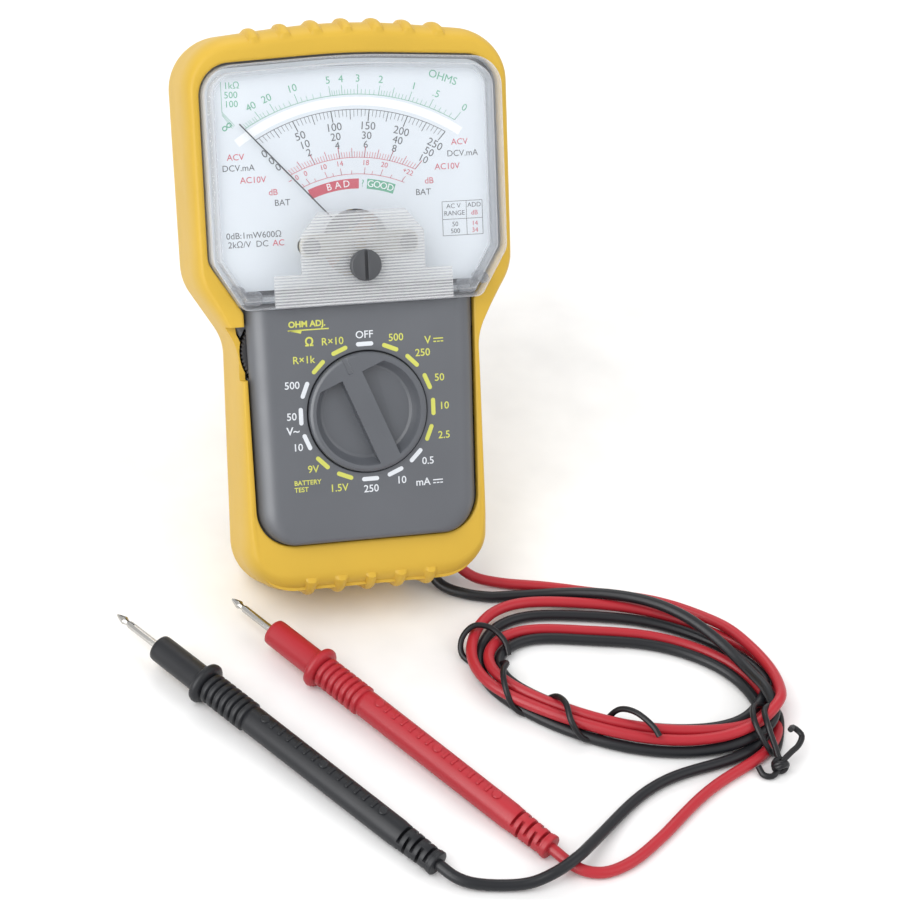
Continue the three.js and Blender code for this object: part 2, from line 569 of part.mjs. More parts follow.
function leadCoil() {
  const flat = (points) => points.map(([x, y]) => new THREE.Vector2(x, y));
  const outline = new THREE.Shape();
  outline.moveTo(82, -121);
  outline.splineThru(flat(COIL_BACK));
  outline.lineTo(55.3, -49.3);
  outline.splineThru(flat(COIL_FRONT));
  outline.closePath();
  const eye = new THREE.CatmullRomCurve3(COIL_EYE.map(([x, y]) => new THREE.Vector3(x, y, 0)), true);
  outline.holes.push(new THREE.Path(flat(eye.getPoints(32).slice(1).map(({ x, y }) => [x, y]))));
  const [low, high] = COIL_HEIGHT;
  return new THREE.ExtrudeGeometry(outline, { depth: high - low, bevelEnabled: false, curveSegments: 2 })
    .translate(0, 0, low);
}
add('lead_coil', leadCoil(), RED, multimeter);

// a loop of tie wire standing across the coil, which lies inside it
function tieLoop([x, y], across, halfWidth) {
  const wire = 0.9;
  const loop = mirrored([[halfWidth, 0.05, 1.2], [halfWidth, 8.6, 1.5]]);
  return cut(slab(loop, -wire / 2, wire / 2), slab(inset(loop, wire), -1, 1))
    .rotateX(Math.PI / 2).rotateZ(across).translate(x, y, 0);
}
add('twist_tie_end', tieLoop([97.5, -107.2], deg(-37), 11.2), BLACK, multimeter);
add('twist_tie_side', tieLoop([27.3, -70], 0, 9.3), BLACK, multimeter);

// ---------------------------------------------------------------- test probes
const PROBE = { bare: 15.5, barrel: 32, flange: 34.4, grip: 49, handle: 101, end: 113.5 };

// drawn with the tip's point at the origin and the lead's end up the z axis
function probeHandle() {
  const { bare, barrel, flange, grip, handle, end } = PROBE;
  const rings = 7;
  const pitch = (grip - flange) / rings;
  const grooves = Array.from({ length: rings }, (_, k) => flange + k * pitch)
    .flatMap((z) => [[3.05, z + 0.4], [3.6, z + 1.0], [3.6, z + pitch - 0.2]]);
  return turned([[1.4, bare + 0.2], [3.2, bare + 0.2], [3.45, bare + 1], [3.45, barrel - 0.4],
    [5.7, barrel + 0.4], [5.7, flange - 0.8], [4.2, flange], ...grooves, [3.6, handle],
    [2.9, handle + 3], [2.7, end], [0, end], [0, bare + 4], [1.4, bare + 4], [1.4, bare + 0.2]], 14);
}

const probeTip = () => turned([[0, 0], [0.55, 1.2], [0.95, 3.6], [0.6, 4.4], [1, 5.2],
  [1, PROBE.bare + 3.6], [0, PROBE.bare + 3.6]], 10);

// lays a probe down: its tip's point and its lead's end are given
function layProbe(colour, material, tip, end) {
  const probe = new THREE.Group();
  probe.position.set(...tip);
  const along = new THREE.Vector3(...end).sub(probe.position).normalize();
  probe.quaternion.setFromUnitVectors(new THREE.Vector3(0, 0, 1), along);
  multimeter.add(probe);
  add(`probe_handle_${colour}`, probeHandle(), material, probe);
  add(`probe_tip_${colour}`, probeTip(), STEEL, probe);
}
layProbe('black', BLACK, [-64.8, -46.4, 6.9], [-0.2, -139.3, 3.2]);
layProbe('red', RED, [-34.2, -43.5, 6.9], [28.8, -137.8, 3.2]);

// ---------------------------------------------------------------- stand the meter up
// the floor is z = 0 and the meter's own box is centred on the z axis
const footprint = new THREE.Box3().setFromObject(meter, true);
meter.position.set(0, -(footprint.min.y + footprint.max.y) / 2, -FLOOR);

export default multimeter;
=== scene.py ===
"""The looks of a pocket analog multimeter: holster, dial, selector, probes and coiled test leads.

The meter is drawn in millimetres in its own frame: x to the right, y up the face, z out of the
face, with the selector's axis at x = y = 0 and the holster's back at z = 0. METER carries that
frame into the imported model's, which is in metres. The leads and probes are drawn on the floor.
"""

import json
from math import acos, asin, atan2, copysign, cos, pi, radians, sin, sqrt, tan

import bmesh
import bpy
import numpy as np
from mathutils import Matrix, Vector


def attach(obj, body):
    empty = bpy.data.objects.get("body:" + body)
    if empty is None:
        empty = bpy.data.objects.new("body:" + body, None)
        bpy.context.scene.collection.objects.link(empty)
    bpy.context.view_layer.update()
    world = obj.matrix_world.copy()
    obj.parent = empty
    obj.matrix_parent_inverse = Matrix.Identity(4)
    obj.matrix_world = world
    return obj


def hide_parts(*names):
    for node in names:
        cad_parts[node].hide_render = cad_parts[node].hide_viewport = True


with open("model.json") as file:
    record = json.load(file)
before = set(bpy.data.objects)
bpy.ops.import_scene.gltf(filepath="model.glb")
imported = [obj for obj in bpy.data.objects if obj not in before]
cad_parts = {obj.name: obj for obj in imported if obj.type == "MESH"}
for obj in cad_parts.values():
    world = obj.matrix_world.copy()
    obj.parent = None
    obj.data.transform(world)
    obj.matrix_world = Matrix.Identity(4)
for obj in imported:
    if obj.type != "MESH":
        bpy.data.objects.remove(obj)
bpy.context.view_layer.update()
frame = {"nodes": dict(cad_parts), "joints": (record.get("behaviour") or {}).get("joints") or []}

# ----- frames and driving dimensions
MM = 0.001
selector = next(joint for joint in frame["joints"] if joint["name"] == "selector_turn")
FACE_NORMAL = Vector(selector["axis"])
SELECTOR_Z = 34  # height of the selector joint's point in the meter's frame
LEAN = atan2(-FACE_NORMAL.y, FACE_NORMAL.z)
ORIGIN = Vector(selector["pos_m"]) - FACE_NORMAL * SELECTOR_Z * MM
METER = Matrix.Translation(ORIGIN) @ Matrix.Rotation(LEAN, 4, "X") @ Matrix.Scale(MM, 4)
FLOOR = Matrix.Scale(MM, 4)  # millimetres on the floor
UP = Vector((0, 0, 1))

# right halves of the outlines, bottom to top: x, y, corner radius; then the crown of the top
HOLSTER_CORNERS = [(33.6, -50.6, 14), (32.6, 18.5, 14), (43, 35, 14), (43.6, 97.4, 14)]
HOLSTER_CROWN = (0, 102, 150)
CASE_CORNERS = [(33.6, -49, 13.4), *HOLSTER_CORNERS[1:]]  # the holster is thickest below the case
OPENING_CORNERS = [(30.1, -34.8, 10), (31.0, 27.6, 1.5), (39.6, 41, 5.5), (39.7, 91.5, 8.5)]
OPENING_CROWN = (0, 93.5, 200)
WINDOW_CORNERS = [(31.8, 28.6, 2.5), (39.2, 41, 5), (39.3, 91, 8)]
WINDOW_CROWN = (0, 93, 200)

HOLSTER_FACE = 33
HOLSTER_BACK = 4
HOLSTER_WALL = 1.7
BACK_ROUND = (5, 11)  # rounding of the holster's back edge: inwards, and in depth
RIM_ROUND = (4.2, 9)
FOOT_ROUND = 7.5  # the front edge is rounded further in along the foot
FOOT_DRAFT = 2.2  # how far the holster's foot slopes in towards its face
RIB_PITCH = 8.2
CASE_INSET = 2.3  # from the holster's outline to the case's
CASE_SPLIT = 18.3
CASE_TOP = 30
PANEL_FACE = 36
WINDOW_FACE = 40
WINDOW_WALL = 2
DIAL_FACE = 31.3
DIAL_BOTTOM = 33.6

KNOB_RADIUS = 15.9
KNOB_FACE = 37.6
KNOB_TURN = radians(22.5)
PIVOT_Y = 44
POINTER_REST = radians(42.6)
POINTER_LENGTH = 43.8
ZERO_Y = 38.9
WHEEL = (-20.4, 17, 11.5, 26.5, 30.7)  # x, y, radius, bottom, top
WHEEL_GAP = 0.6  # room over and under the wheel
WHEEL_STEP = 30.0  # height of the holster's lip beside the wheel
WHEEL_WALL = 32.6  # how far left the holster's wall reaches in beside the wheel

LEAD = 3.0  # diameter of a test lead


def mirrored(corners, crown=None):
    left = [(-x, y, radius) for x, y, radius in reversed(corners)]
    return [*corners, *([crown] if crown else []), *left]


# ----- camera, light and floor
CAMERA_PLACE = (-0.1530, -0.5104, 0.4801)
CAMERA_BACK = (-0.2634, -0.7137, 0.6494)
CAMERA_RIGHT = (0.962, -0.2495, 0.1157)
SKY = 0.78
STUDIO_MIDDLE = (0, 0, 0.06)
# each light's place, size, power and whether it shines in the gloss only
LIGHTS = {"key": ((-0.55, -0.35, 0.9), 0.8, 6, False),
          "side": ((-0.95, -0.6, 0.35), 1.0, 14, True),
          "fill": ((0.7, -0.6, 0.7), 0.9, 2.2, False),
          "rim": ((0.1, 0.8, 0.9), 0.8, 3, False)}


def new_object(name, data):
    piece = bpy.data.objects.new(name, data)
    bpy.context.collection.objects.link(piece)
    return piece


def camera():
    back = Vector(CAMERA_BACK).normalized()
    right = Vector(CAMERA_RIGHT)
    right = (right - back * right.dot(back)).normalized()
    turn = Matrix((right, back.cross(right), back)).transposed().to_4x4()
    data = bpy.data.cameras.new("camera")
    data.lens = 100
    data.sensor_width = 36
    data.clip_start = 0.01
    view = new_object("camera", data)
    view.matrix_world = Matrix.Translation(CAMERA_PLACE) @ turn
    bpy.context.scene.camera = view


def area_light(name, place, size, power, only_gloss):
    data = bpy.data.lights.new(name, "AREA")
    data.shape = "DISK"
    data.size = size
    data.energy = power
    lamp = new_object(name, data)
    lamp.location = place
    lamp.rotation_euler = (Vector(STUDIO_MIDDLE) - Vector(place)).to_track_quat("-Z", "Y").to_euler()
    lamp.visible_diffuse = not only_gloss


def studio():
    bpy.context.scene.view_settings.view_transform = "Standard"
    world = bpy.data.worlds.new("studio")
    bpy.context.scene.world = world
    world.use_nodes = True
    sky = world.node_tree.nodes["Background"]
    sky.inputs["Color"].default_value = (1, 1, 1, 1)
    sky.inputs["Strength"].default_value = SKY
    for name, settings in LIGHTS.items():
        area_light(name, *settings)
    floor = bpy.data.meshes.new("floor")
    floor.from_pydata([(-4, -4, 0), (4, -4, 0), (4, 4, 0), (-4, 4, 0)], [], [(0, 1, 2, 3)])
    floor.materials.append(MATERIALS["floor"])
    new_object("floor", floor)


# ----- materials
def spread(tree, factor, low, high):
    """a number that runs from low to high as the factor runs from 0 to 1"""
    node = tree.nodes.new("ShaderNodeMapRange")
    node.inputs["To Min"].default_value = low
    node.inputs["To Max"].default_value = high
    tree.links.new(factor, node.inputs["Value"])
    return node.outputs["Result"]


def surface(colour, roughness, metallic=0.0, grain=0.0, grain_size=0.3, mottle=0.04, uneven=0.06,
            specular=0.5):
    """a Principled material with fine grain in its bump and broad variation in colour and gloss"""
    material = bpy.data.materials.new("surface")
    material.use_nodes = True
    tree = material.node_tree
    shader = tree.nodes["Principled BSDF"]
    shader.inputs["Metallic"].default_value = metallic
    shader.inputs["Specular IOR Level"].default_value = specular
    place = tree.nodes.new("ShaderNodeTexCoord").outputs["Object"]

    def noise(scale, detail):
        node = tree.nodes.new("ShaderNodeTexNoise")
        node.inputs["Scale"].default_value = scale
        node.inputs["Detail"].default_value = detail
        tree.links.new(place, node.inputs["Vector"])
        return node.outputs["Fac"]

    shades = tree.nodes.new("ShaderNodeValToRGB")
    for stop, position, change in zip(shades.color_ramp.elements, (0.3, 0.7), (-mottle, mottle)):
        stop.position = position
        stop.color = (*[min(1, c * (1 + change)) for c in colour], 1)
    tree.links.new(noise(45, 3), shades.inputs["Fac"])
    tree.links.new(shades.outputs["Color"], shader.inputs["Base Color"])
    gloss = spread(tree, noise(140, 4), max(0.02, roughness - uneven), roughness + uneven)
    tree.links.new(gloss, shader.inputs["Roughness"])
    if grain:
        bump = tree.nodes.new("ShaderNodeBump")
        bump.inputs["Strength"].default_value = grain
        bump.inputs["Distance"].default_value = grain_size * MM * 0.2
        tree.links.new(noise(1 / (grain_size * MM), 2), bump.inputs["Height"])
        tree.links.new(bump.outputs["Normal"], shader.inputs["Normal"])
    return material


def clear(colour, face_on, edge_on, roughness=0.04):
    """clear plastic: nearly invisible face on, denser and glossier at a glancing angle"""
    material = surface(colour, roughness, mottle=0.02, uneven=0.015)
    tree = material.node_tree
    shader = tree.nodes["Principled BSDF"]
    facing = tree.nodes.new("ShaderNodeLayerWeight")
    facing.inputs["Blend"].default_value = 0.35
    density = spread(tree, facing.outputs["Facing"], face_on, edge_on)
    tree.links.new(density, shader.inputs["Alpha"])
    return material


# ----- outlines
def corner_arcs(corners, step=radians(4)):
    """the arc at each corner of a polygon whose corners are rounded by the given radii"""
    flat = [Vector(corner[:2]) for corner in corners]
    arcs = []
    for i, (_, _, radius) in enumerate(corners):
        before = (flat[i - 1] - flat[i]).normalized()
        after = (flat[(i + 1) % len(flat)] - flat[i]).normalized()
        turn = pi - acos(max(-1, min(1, before.dot(after))))
        middle = flat[i] + (before + after).normalized() * radius / cos(turn / 2)
        arm = flat[i] + before * radius * tan(turn / 2) - middle
        sense = copysign(turn, -(before.x * after.y - before.y * after.x))
        steps = 2 * max(2, round(turn / step / 2))
        arcs.append([middle + Matrix.Rotation(sense * k / steps, 2) @ arm for k in range(steps + 1)])
    return arcs


def travelled(line):
    """the distance along a line of points, at each of them"""
    return np.concatenate([[0], np.cumsum(np.linalg.norm(np.diff(line, axis=0), axis=1))])


def resampled(line, steps, endpoint=True):
    """evenly spaced points along a line of points"""
    travel = travelled(line)
    wanted = np.linspace(0, travel[-1], steps + endpoint, endpoint=endpoint)
    return np.stack([np.interp(wanted, travel, values) for values in line.T], axis=1)


def contour(corners, gap=0.5, like=None):
    """points round the outline and their outward normals, spaced evenly from the middle of each
    corner to the next; with another outline given, each point has its partner on that one"""
    def spans(outline):
        arcs = corner_arcs(outline)
        return [np.array([*arc[len(arc) // 2:], *after[:len(after) // 2 + 1]])
                for arc, after in zip(arcs, arcs[1:] + arcs[:1])]

    points = np.concatenate([resampled(span, max(3, round(travelled(model)[-1] / gap)), endpoint=False)
                             for span, model in zip(spans(corners), spans(like or corners))])
    along = np.roll(points, -1, axis=0) - np.roll(points, 1, axis=0)
    normals = np.stack([along[:, 1], -along[:, 0]], axis=1)
    return points, normals / np.linalg.norm(normals, axis=1)[:, None]


def ring(outline, inset, z):
    """the outline moved inwards, by one distance or by one for each of its points"""
    points, normals = outline
    return at_height(points - normals * np.reshape(inset, (-1, 1)), z)


def rings(outline, steps):
    """the outline at each of the given insets and heights"""
    return [ring(outline, inset, z) for inset, z in steps]


def at_height(flat, z):
    return np.column_stack([flat, np.full(len(flat), z)])


def bend(inwards, deep, steps, power=2.0):
    """insets and depths along a quarter turn from a wall to a face"""
    turns = [pi / 2 * k / steps for k in range(steps + 1)]
    return [(inwards * (1 - cos(a) ** (2 / power)), deep * sin(a) ** (2 / power)) for a in turns]


# ----- meshes
def from_bmesh(name, body):
    mesh = bpy.data.meshes.new(name)
    body.to_mesh(mesh)
    body.free()
    return new_object(name, mesh)


def moved(piece, place):
    piece.data.transform(Matrix.Translation(place))
    return piece


def turned(piece, angle, axis="Z"):
    piece.data.transform(Matrix.Rotation(angle, 4, axis))
    return piece


def loft(name, levels, capped=True):
    """a skin through rings that all have the same number of points, with a face on each end"""
    count = len(levels[0])
    vertices = np.concatenate(levels)
    faces = []
    for level in range(len(levels) - 1):
        low = level * count
        for k in range(count):
            after = (k + 1) % count
            faces.append((low + k, low + after, low + count + after, low + count + k))
    if capped:
        faces.append(tuple(reversed(range(count))))
        faces.append(tuple(range(len(vertices) - count, len(vertices))))
    mesh = bpy.data.meshes.new(name)
    mesh.from_pydata(vertices.tolist(), [], faces)
    tidy = bmesh.new()
    tidy.from_mesh(mesh)
    bmesh.ops.remove_doubles(tidy, verts=tidy.verts, dist=1e-4)
    bmesh.ops.recalc_face_normals(tidy, faces=tidy.faces)
    tidy.to_mesh(mesh)
    tidy.free()
    return new_object(name, mesh)


def lathe(name, profile, sides=48):
    """a body of revolution about z from radius and height pairs that start and end on the axis"""
    turns = [2 * pi * k / sides for k in range(sides)]
    return loft(name, [np.array([(r * cos(a), r * sin(a), z) for a in turns])
                       for r, z in profile])


def rod(radius, low, high, at=(0, 0), sides=48):
    """a round bar along z, mostly used as the cutter of a round hole"""
    return moved(lathe("rod", [(0, low), (radius, low), (radius, high), (0, high)], sides), (*at, 0))


def prism(name, points, low, high):
    return loft(name, [at_height(np.array(points), z) for z in (low, high)])


def block(name, low, high, edge=0.0):
    """a box between two corners, with rounded edges"""
    body = bmesh.new()
    bmesh.ops.create_cube(body, size=1)
    for vertex in body.verts:
        vertex.co = [start + (share + 0.5) * (end - start)
                     for start, share, end in zip(Vector(low), vertex.co, Vector(high))]
    if edge:
        bmesh.ops.bevel(body, geom=body.edges[:], offset=edge, segments=3, profile=0.5, affect="EDGES")
    return from_bmesh(name, body)


def apply_modifiers(piece):
    graph = bpy.context.evaluated_depsgraph_get()
    mesh = bpy.data.meshes.new_from_object(piece.evaluated_get(graph))
    piece.modifiers.clear()
    piece.data = mesh


def combine(piece, operation, *tools):
    for tool in tools:
        step = piece.modifiers.new(operation, "BOOLEAN")
        step.operation = operation
        step.solver = "EXACT"
        step.object = tool
    apply_modifiers(piece)
    for tool in tools:
        bpy.data.objects.remove(tool)
    return piece


def cut(piece, *tools):
    return combine(piece, "DIFFERENCE", *tools)


def soften(piece, width, angle=30):
    """rounds the edges that are sharper than the angle"""
    step = piece.modifiers.new("soften", "BEVEL")
    step.width = width
    step.segments = 2
    step.limit_method = "ANGLE"
    step.angle_limit = radians(angle)
    step.use_clamp_overlap = True
    apply_modifiers(piece)
    return piece


def joined(name, pieces):
    whole = bmesh.new()
    for piece in pieces:
        whole.from_mesh(piece.data)
        bpy.data.objects.remove(piece)
    return from_bmesh(name, whole)


def settle(piece, look, replaces=(), body="meter", place=METER, sharp=32):
    """puts a finished piece in place: shading, material, the CAD nodes it stands for, body"""
    piece.data.transform(place)
    piece.data.polygons.foreach_set("use_smooth", [True] * len(piece.data.polygons))
    piece.data.set_sharp_from_angle(angle=radians(sharp))
    piece.data.materials.clear()
    piece.data.materials.append(MATERIALS[look])
    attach(piece, body)
    if replaces:
        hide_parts(*replaces)
    return piece


# ----- test leads
# the middle of the coil's winding at eight stations, clockwise from above, from the far left
MIDDLE = [(38, -57.5), (60, -58), (82, -64), (101, -84), (98, -105), (78, -106.3), (52, -98), (26.5, -74)]

# each lead's turns, from the second station on: how far outwards from the middle, and the height
BLACK_TURNS = [(8.5, 3.9), (2.5, 7.3), (-3.0, 4.8), (2.4, 4.7), (4.3, 1.6), (4.3, 1.6), (1.6, 1.6),
               (2.5, 1.7), (1, 1.8), (0.6, 1.8), (2.0, 1.7), (-3.1, 4.4), (-3.6, 1.6), (-3.3, 1.6),
               (-2.6, 2.2), (-5.5, 1.6), (-8.4, 1.6), (-7.6, 1.6), (-4.6, 1.6), (1.0, 1.6)]
RED_TURNS = [(10.8, 1.6), (8.8, 2.4), (3.6, 4.9), (1.0, 7.6), (2.6, 4.4), (2.6, 4.4), (3.6, 4.1),
             (6.0, 3.6), (4.7, 3.2), (4.0, 2.4), (6.6, 1.7), (-0.6, 4.7), (-0.7, 4.5), (-0.6, 4.4),
             (0.2, 4.5), (-2.3, 1.9), (-5.2, 2.0), (-4.4, 1.7), (-1.4, 1.6), (4.4, 1.6)]
BLACK_RUN = [(22.1, -36.9, 5.0), (22.6, -38.5, 3.2), (25, -41.0, 2.0), (31, -44.4, 1.7),
             (39.6, -46.6, 1.6), (48.8, -46.8, 1.6), (54.9, -47.1, 1.6)]
RED_RUN = [(28.4, -35.5, 7.1), (30.1, -37.1, 5.0), (33.8, -39.2, 3.0), (41.1, -41.3, 1.8),
           (49.9, -43.3, 1.6), (54.8, -44.1, 1.6)]
BLACK_TAIL = [(81.6, -115.1, 1.6), (74, -115.3, 1.6), (63.5, -117.8, 1.6), (54.6, -122.8, 1.6),
              (46, -130.2, 2.0), (39.6, -136.2, 4.0), (33, -141.9, 5.6), (26.5, -144.9, 4.4),
              (20, -145.6, 2.3), (12, -144.6, 1.6), (4.6, -142.9, 2.2), (1.2, -140.7, 2.7),
              (-0.7, -138.4, 3.1)]
RED_TAIL = [(81.1, -119.4, 1.6), (76.1, -121.7, 1.6), (66.5, -129.1, 1.6), (57.3, -136.4, 1.6),
            (47, -142.9, 1.6), (39.6, -144.9, 1.6), (34.6, -143.8, 1.9), (31.0, -140.9, 2.5),
            (28.5, -137.6, 3.1)]
PROBES = {"black": ((-66.8, -44.1, 6.9), (-1.3, -137.6, 3.2)),
          "red": ((-35.6, -42.4, 6.9), (28.0, -136.9, 3.2))}
INSIDE_PROBE = 62  # how far a lead runs on inside its probe's handle
HELD_AT_START, HELD_AT_END = 14, 70  # points of a lead that stay where they are drawn
NEIGHBOURS = 12  # points so close along a lead never push each other
SPACING = LEAD * 1.04


def smooth_line(points, gap):
    """a centripetal Catmull-Rom line through the points, resampled evenly"""
    points = [np.array(p, float) for p in points]
    padded = [2 * points[0] - points[1], *points, 2 * points[-1] - points[-2]]
    line = []
    for before, a, b, after in zip(padded, padded[1:], padded[2:], padded[3:]):
        knots = [0.0]
        for p, q in ((before, a), (a, b), (b, after)):
            knots.append(knots[-1] + max(1e-6, np.linalg.norm(q - p)) ** 0.5)
        t0, t1, t2, t3 = knots
        for t in np.linspace(t1, t2, 16, endpoint=False):
            first = (before * (t1 - t) + a * (t - t0)) / (t1 - t0)
            second = (a * (t2 - t) + b * (t - t1)) / (t2 - t1)
            third = (b * (t3 - t) + after * (t - t2)) / (t3 - t2)
            low = (first * (t2 - t) + second * (t - t0)) / (t2 - t0)
            high = (second * (t3 - t) + third * (t - t1)) / (t3 - t1)
            line.append((low * (t2 - t) + high * (t - t1)) / (t2 - t1))
    line = np.array([*line, points[-1]])
    return resampled(line, max(2, round(travelled(line)[-1] / gap)))


def coil_points(turns):
    """a lead's points round the coil, station after station"""
    points = []
    for k, (out, height) in enumerate(turns, start=1):
        before, here, after = (Vector(MIDDLE[(k + step) % len(MIDDLE)]) for step in (-1, 0, 1))
        along = (after - before).normalized()
        x, y = here + Vector((-along.y, along.x)) * out
        points.append((x, y, height))
    return points


def untangle(lines):
    """pushes strands that lie in each other apart, keeps them on the floor and keeps them smooth"""
    counts = [len(line) for line in lines]
    owner = np.repeat(range(len(lines)), counts)
    rank = np.concatenate([np.arange(count) for count in counts])
    free = ((rank >= HELD_AT_START) & (rank <= np.array(counts)[owner] - HELD_AT_END))[:, None]
    close = (owner[:, None] == owner) & (np.abs(rank[:, None] - rank) < NEIGHBOURS)
    where = np.concatenate(lines)
    for _ in range(60):
        apart = where[:, None] - where
        distance = np.linalg.norm(apart, axis=2)
        overlap = np.where(close, 0, np.maximum(0, SPACING - distance))
        push = apart * (overlap * 0.22 / np.maximum(distance, 0.05))[:, :, None]
        where = where + free * push.sum(axis=1)
        middle = (np.roll(where, 1, axis=0) + np.roll(where, -1, axis=0)) / 2
        where = np.where(free, where * 0.6 + middle * 0.4, where)
        where[:, 2] = np.maximum(where[:, 2], LEAD / 2 + 0.03)
    return np.split(where, np.cumsum(counts)[:-1])


def lead_line(run, turns, tail, probe):
    tip, end = (Vector(p) for p in PROBES[probe])
    inside = [end + (tip - end).normalized() * reach for reach in (2, 20, 40, INSIDE_PROBE)]
    return smooth_line([*run, *coil_points(turns), *tail, *inside], 1.5)


def bar_curve(name, look, points, radius, resolution=6):
    """a round bar along a line of points, as one open spline"""
    data = bpy.data.curves.new(name, "CURVE")
    data.dimensions = "3D"
    data.bevel_depth = radius * MM
    data.bevel_resolution = resolution
    data.use_fill_caps = True
    data.materials.append(MATERIALS[look])
    spline = data.splines.new("POLY")
    spline.points.add(len(points) - 1)
    spline.points.foreach_set("co", np.column_stack([points * MM, np.ones(len(points))]).ravel())
    spline.use_smooth = True
    return new_object(name, data)


def test_leads():
    lines = untangle([lead_line(BLACK_RUN, BLACK_TURNS, BLACK_TAIL, "black"),
                      lead_line(RED_RUN, RED_TURNS, RED_TAIL, "red")])
    leads = {}
    for colour, line in zip(("black", "red"), lines):
        lead = bar_curve(f"lead_{colour}", f"lead_{colour}", line, LEAD / 2)
        leads[colour] = (lead, line[0] * MM, float(travelled(line * MM)[-1]))
    return leads


def twist_tie(name, points):
    """one wire of a plastic-covered twist tie"""
    return bar_curve(name, "tie", smooth_line(points, 0.7), 0.82, 3)


# where the side tie's wire goes, from its hooked left end: over the winding and back under it
SIDE_TIE = [(35.4, -69.4, 2.4), (34.8, -66.2, 4.8), (31.6, -62.6, 6.7), (27.2, -61.4, 6.9),
            (23.6, -63.4, 4.4), (23.2, -66.6, 1.6), (26.8, -70.2, 0.8), (31.8, -72, 2.2),
            (32.6, -75.6, 6.2), (30, -80.4, 8.2), (29.6, -85.4, 6.8), (31.6, -88.6, 2.8),
            (35.6, -89.6, 0.8), (40.4, -87.2, 2.4), (42.4, -89.2, 6.2), (43.4, -93.8, 8.4),
            (43.8, -98.8, 6.6), (47, -101.6, 2.4), (51.6, -100.4, 0.8), (55.6, -95.8, 2.8),
            (58, -96.4, 6.4), (61, -99.8, 8.4), (64.4, -105.4, 8), (65.4, -107.6, 6.8)]
# the end tie: two turns round the bundle, down to its knot, and its two splayed ends
END_TIE = [(100, -100.5, 2.4), (96.4, -100.8, 6.6), (92.6, -103.6, 9.2), (91.4, -108.4, 9),
           (93.4, -113.4, 5.6), (96.6, -113.8, 1.6), (100.6, -108, 0.9), (102, -102.6, 3.4),
           (99, -102, 7.4), (95.2, -105.2, 9.6), (94.4, -110, 9.2), (95.6, -114.6, 5.6), (96.4, -117, 3.4)]
KNOT = (96.2, -118.6, 2.6)
TIE_ENDS = [[(96.6, -118.2, 3.6), (100.0, -116, 4.4), (102.6, -114.2, 4.6), (104.4, -111.4, 5.2),
             (102.4, -109.5, 6.4), (101.0, -110.8, 7.2)],
            [(95.8, -119, 1.8), (93.6, -120.6, 1), (91.4, -119.8, 1), (90.6, -117.4, 1.8)]]


def knot(centre, size, turns=3):
    """a ball of wire: a few turns, each round another axis"""
    points = []
    for k in range(turns * 14 + 1):
        angle = 2 * pi * k / 14
        lean = angle / turns * 0.9
        flat = Vector((cos(angle) * size, sin(angle) * size, 0))
        points.append(Vector(centre) + Matrix.Rotation(lean, 3, "X") @ flat)
    return points


def tie_pieces():
    side = twist_tie("tie_side_wire", SIDE_TIE)
    end = twist_tie("tie_end_wire", [*END_TIE, *knot(KNOT, 1.7)])
    ends = [twist_tie(f"tie_end_tail_{k}", points) for k, points in enumerate(TIE_ENDS)]
    return [side, end, *ends]


# ----- holster
# the moulded ribs over the rim: how many, where they begin and end, how steeply they begin, and
# how far they stand proud
TOP_RIBS = (7, 32.6, 20, 0.8, 1.1)
BOTTOM_RIBS = (5, 33.05, 6, 0.3, 1.35)
RIB_HALF_WIDTH = 1.45


def rib_height(x, y, z):
    """how far the moulded ribs stand proud at a point of the holster's skin"""
    count, front, back, slope, proud = TOP_RIBS if y > 0 else BOTTOM_RIBS
    if -44 < y < 92 or abs(x) > count / 2 * RIB_PITCH:
        return 0
    offset = abs((x / RIB_PITCH + count / 2) % 1 - 0.5) * RIB_PITCH
    across = sqrt(max(0, 1 - (offset / RIB_HALF_WIDTH) ** 2))
    ends = min(1, max(0, (front - z) / slope)) * min(1, max(0, (z - back) / 2.5))
    return proud * across * sin(pi / 2 * ends)


def eased(values, reach):
    """a smooth run of values along a closed outline that never goes above the given ones"""
    lowest = np.min([np.roll(values, k) for k in range(-reach, reach + 1)], axis=0)
    return np.mean([np.roll(lowest, k) for k in range(-reach, reach + 1)], axis=0)


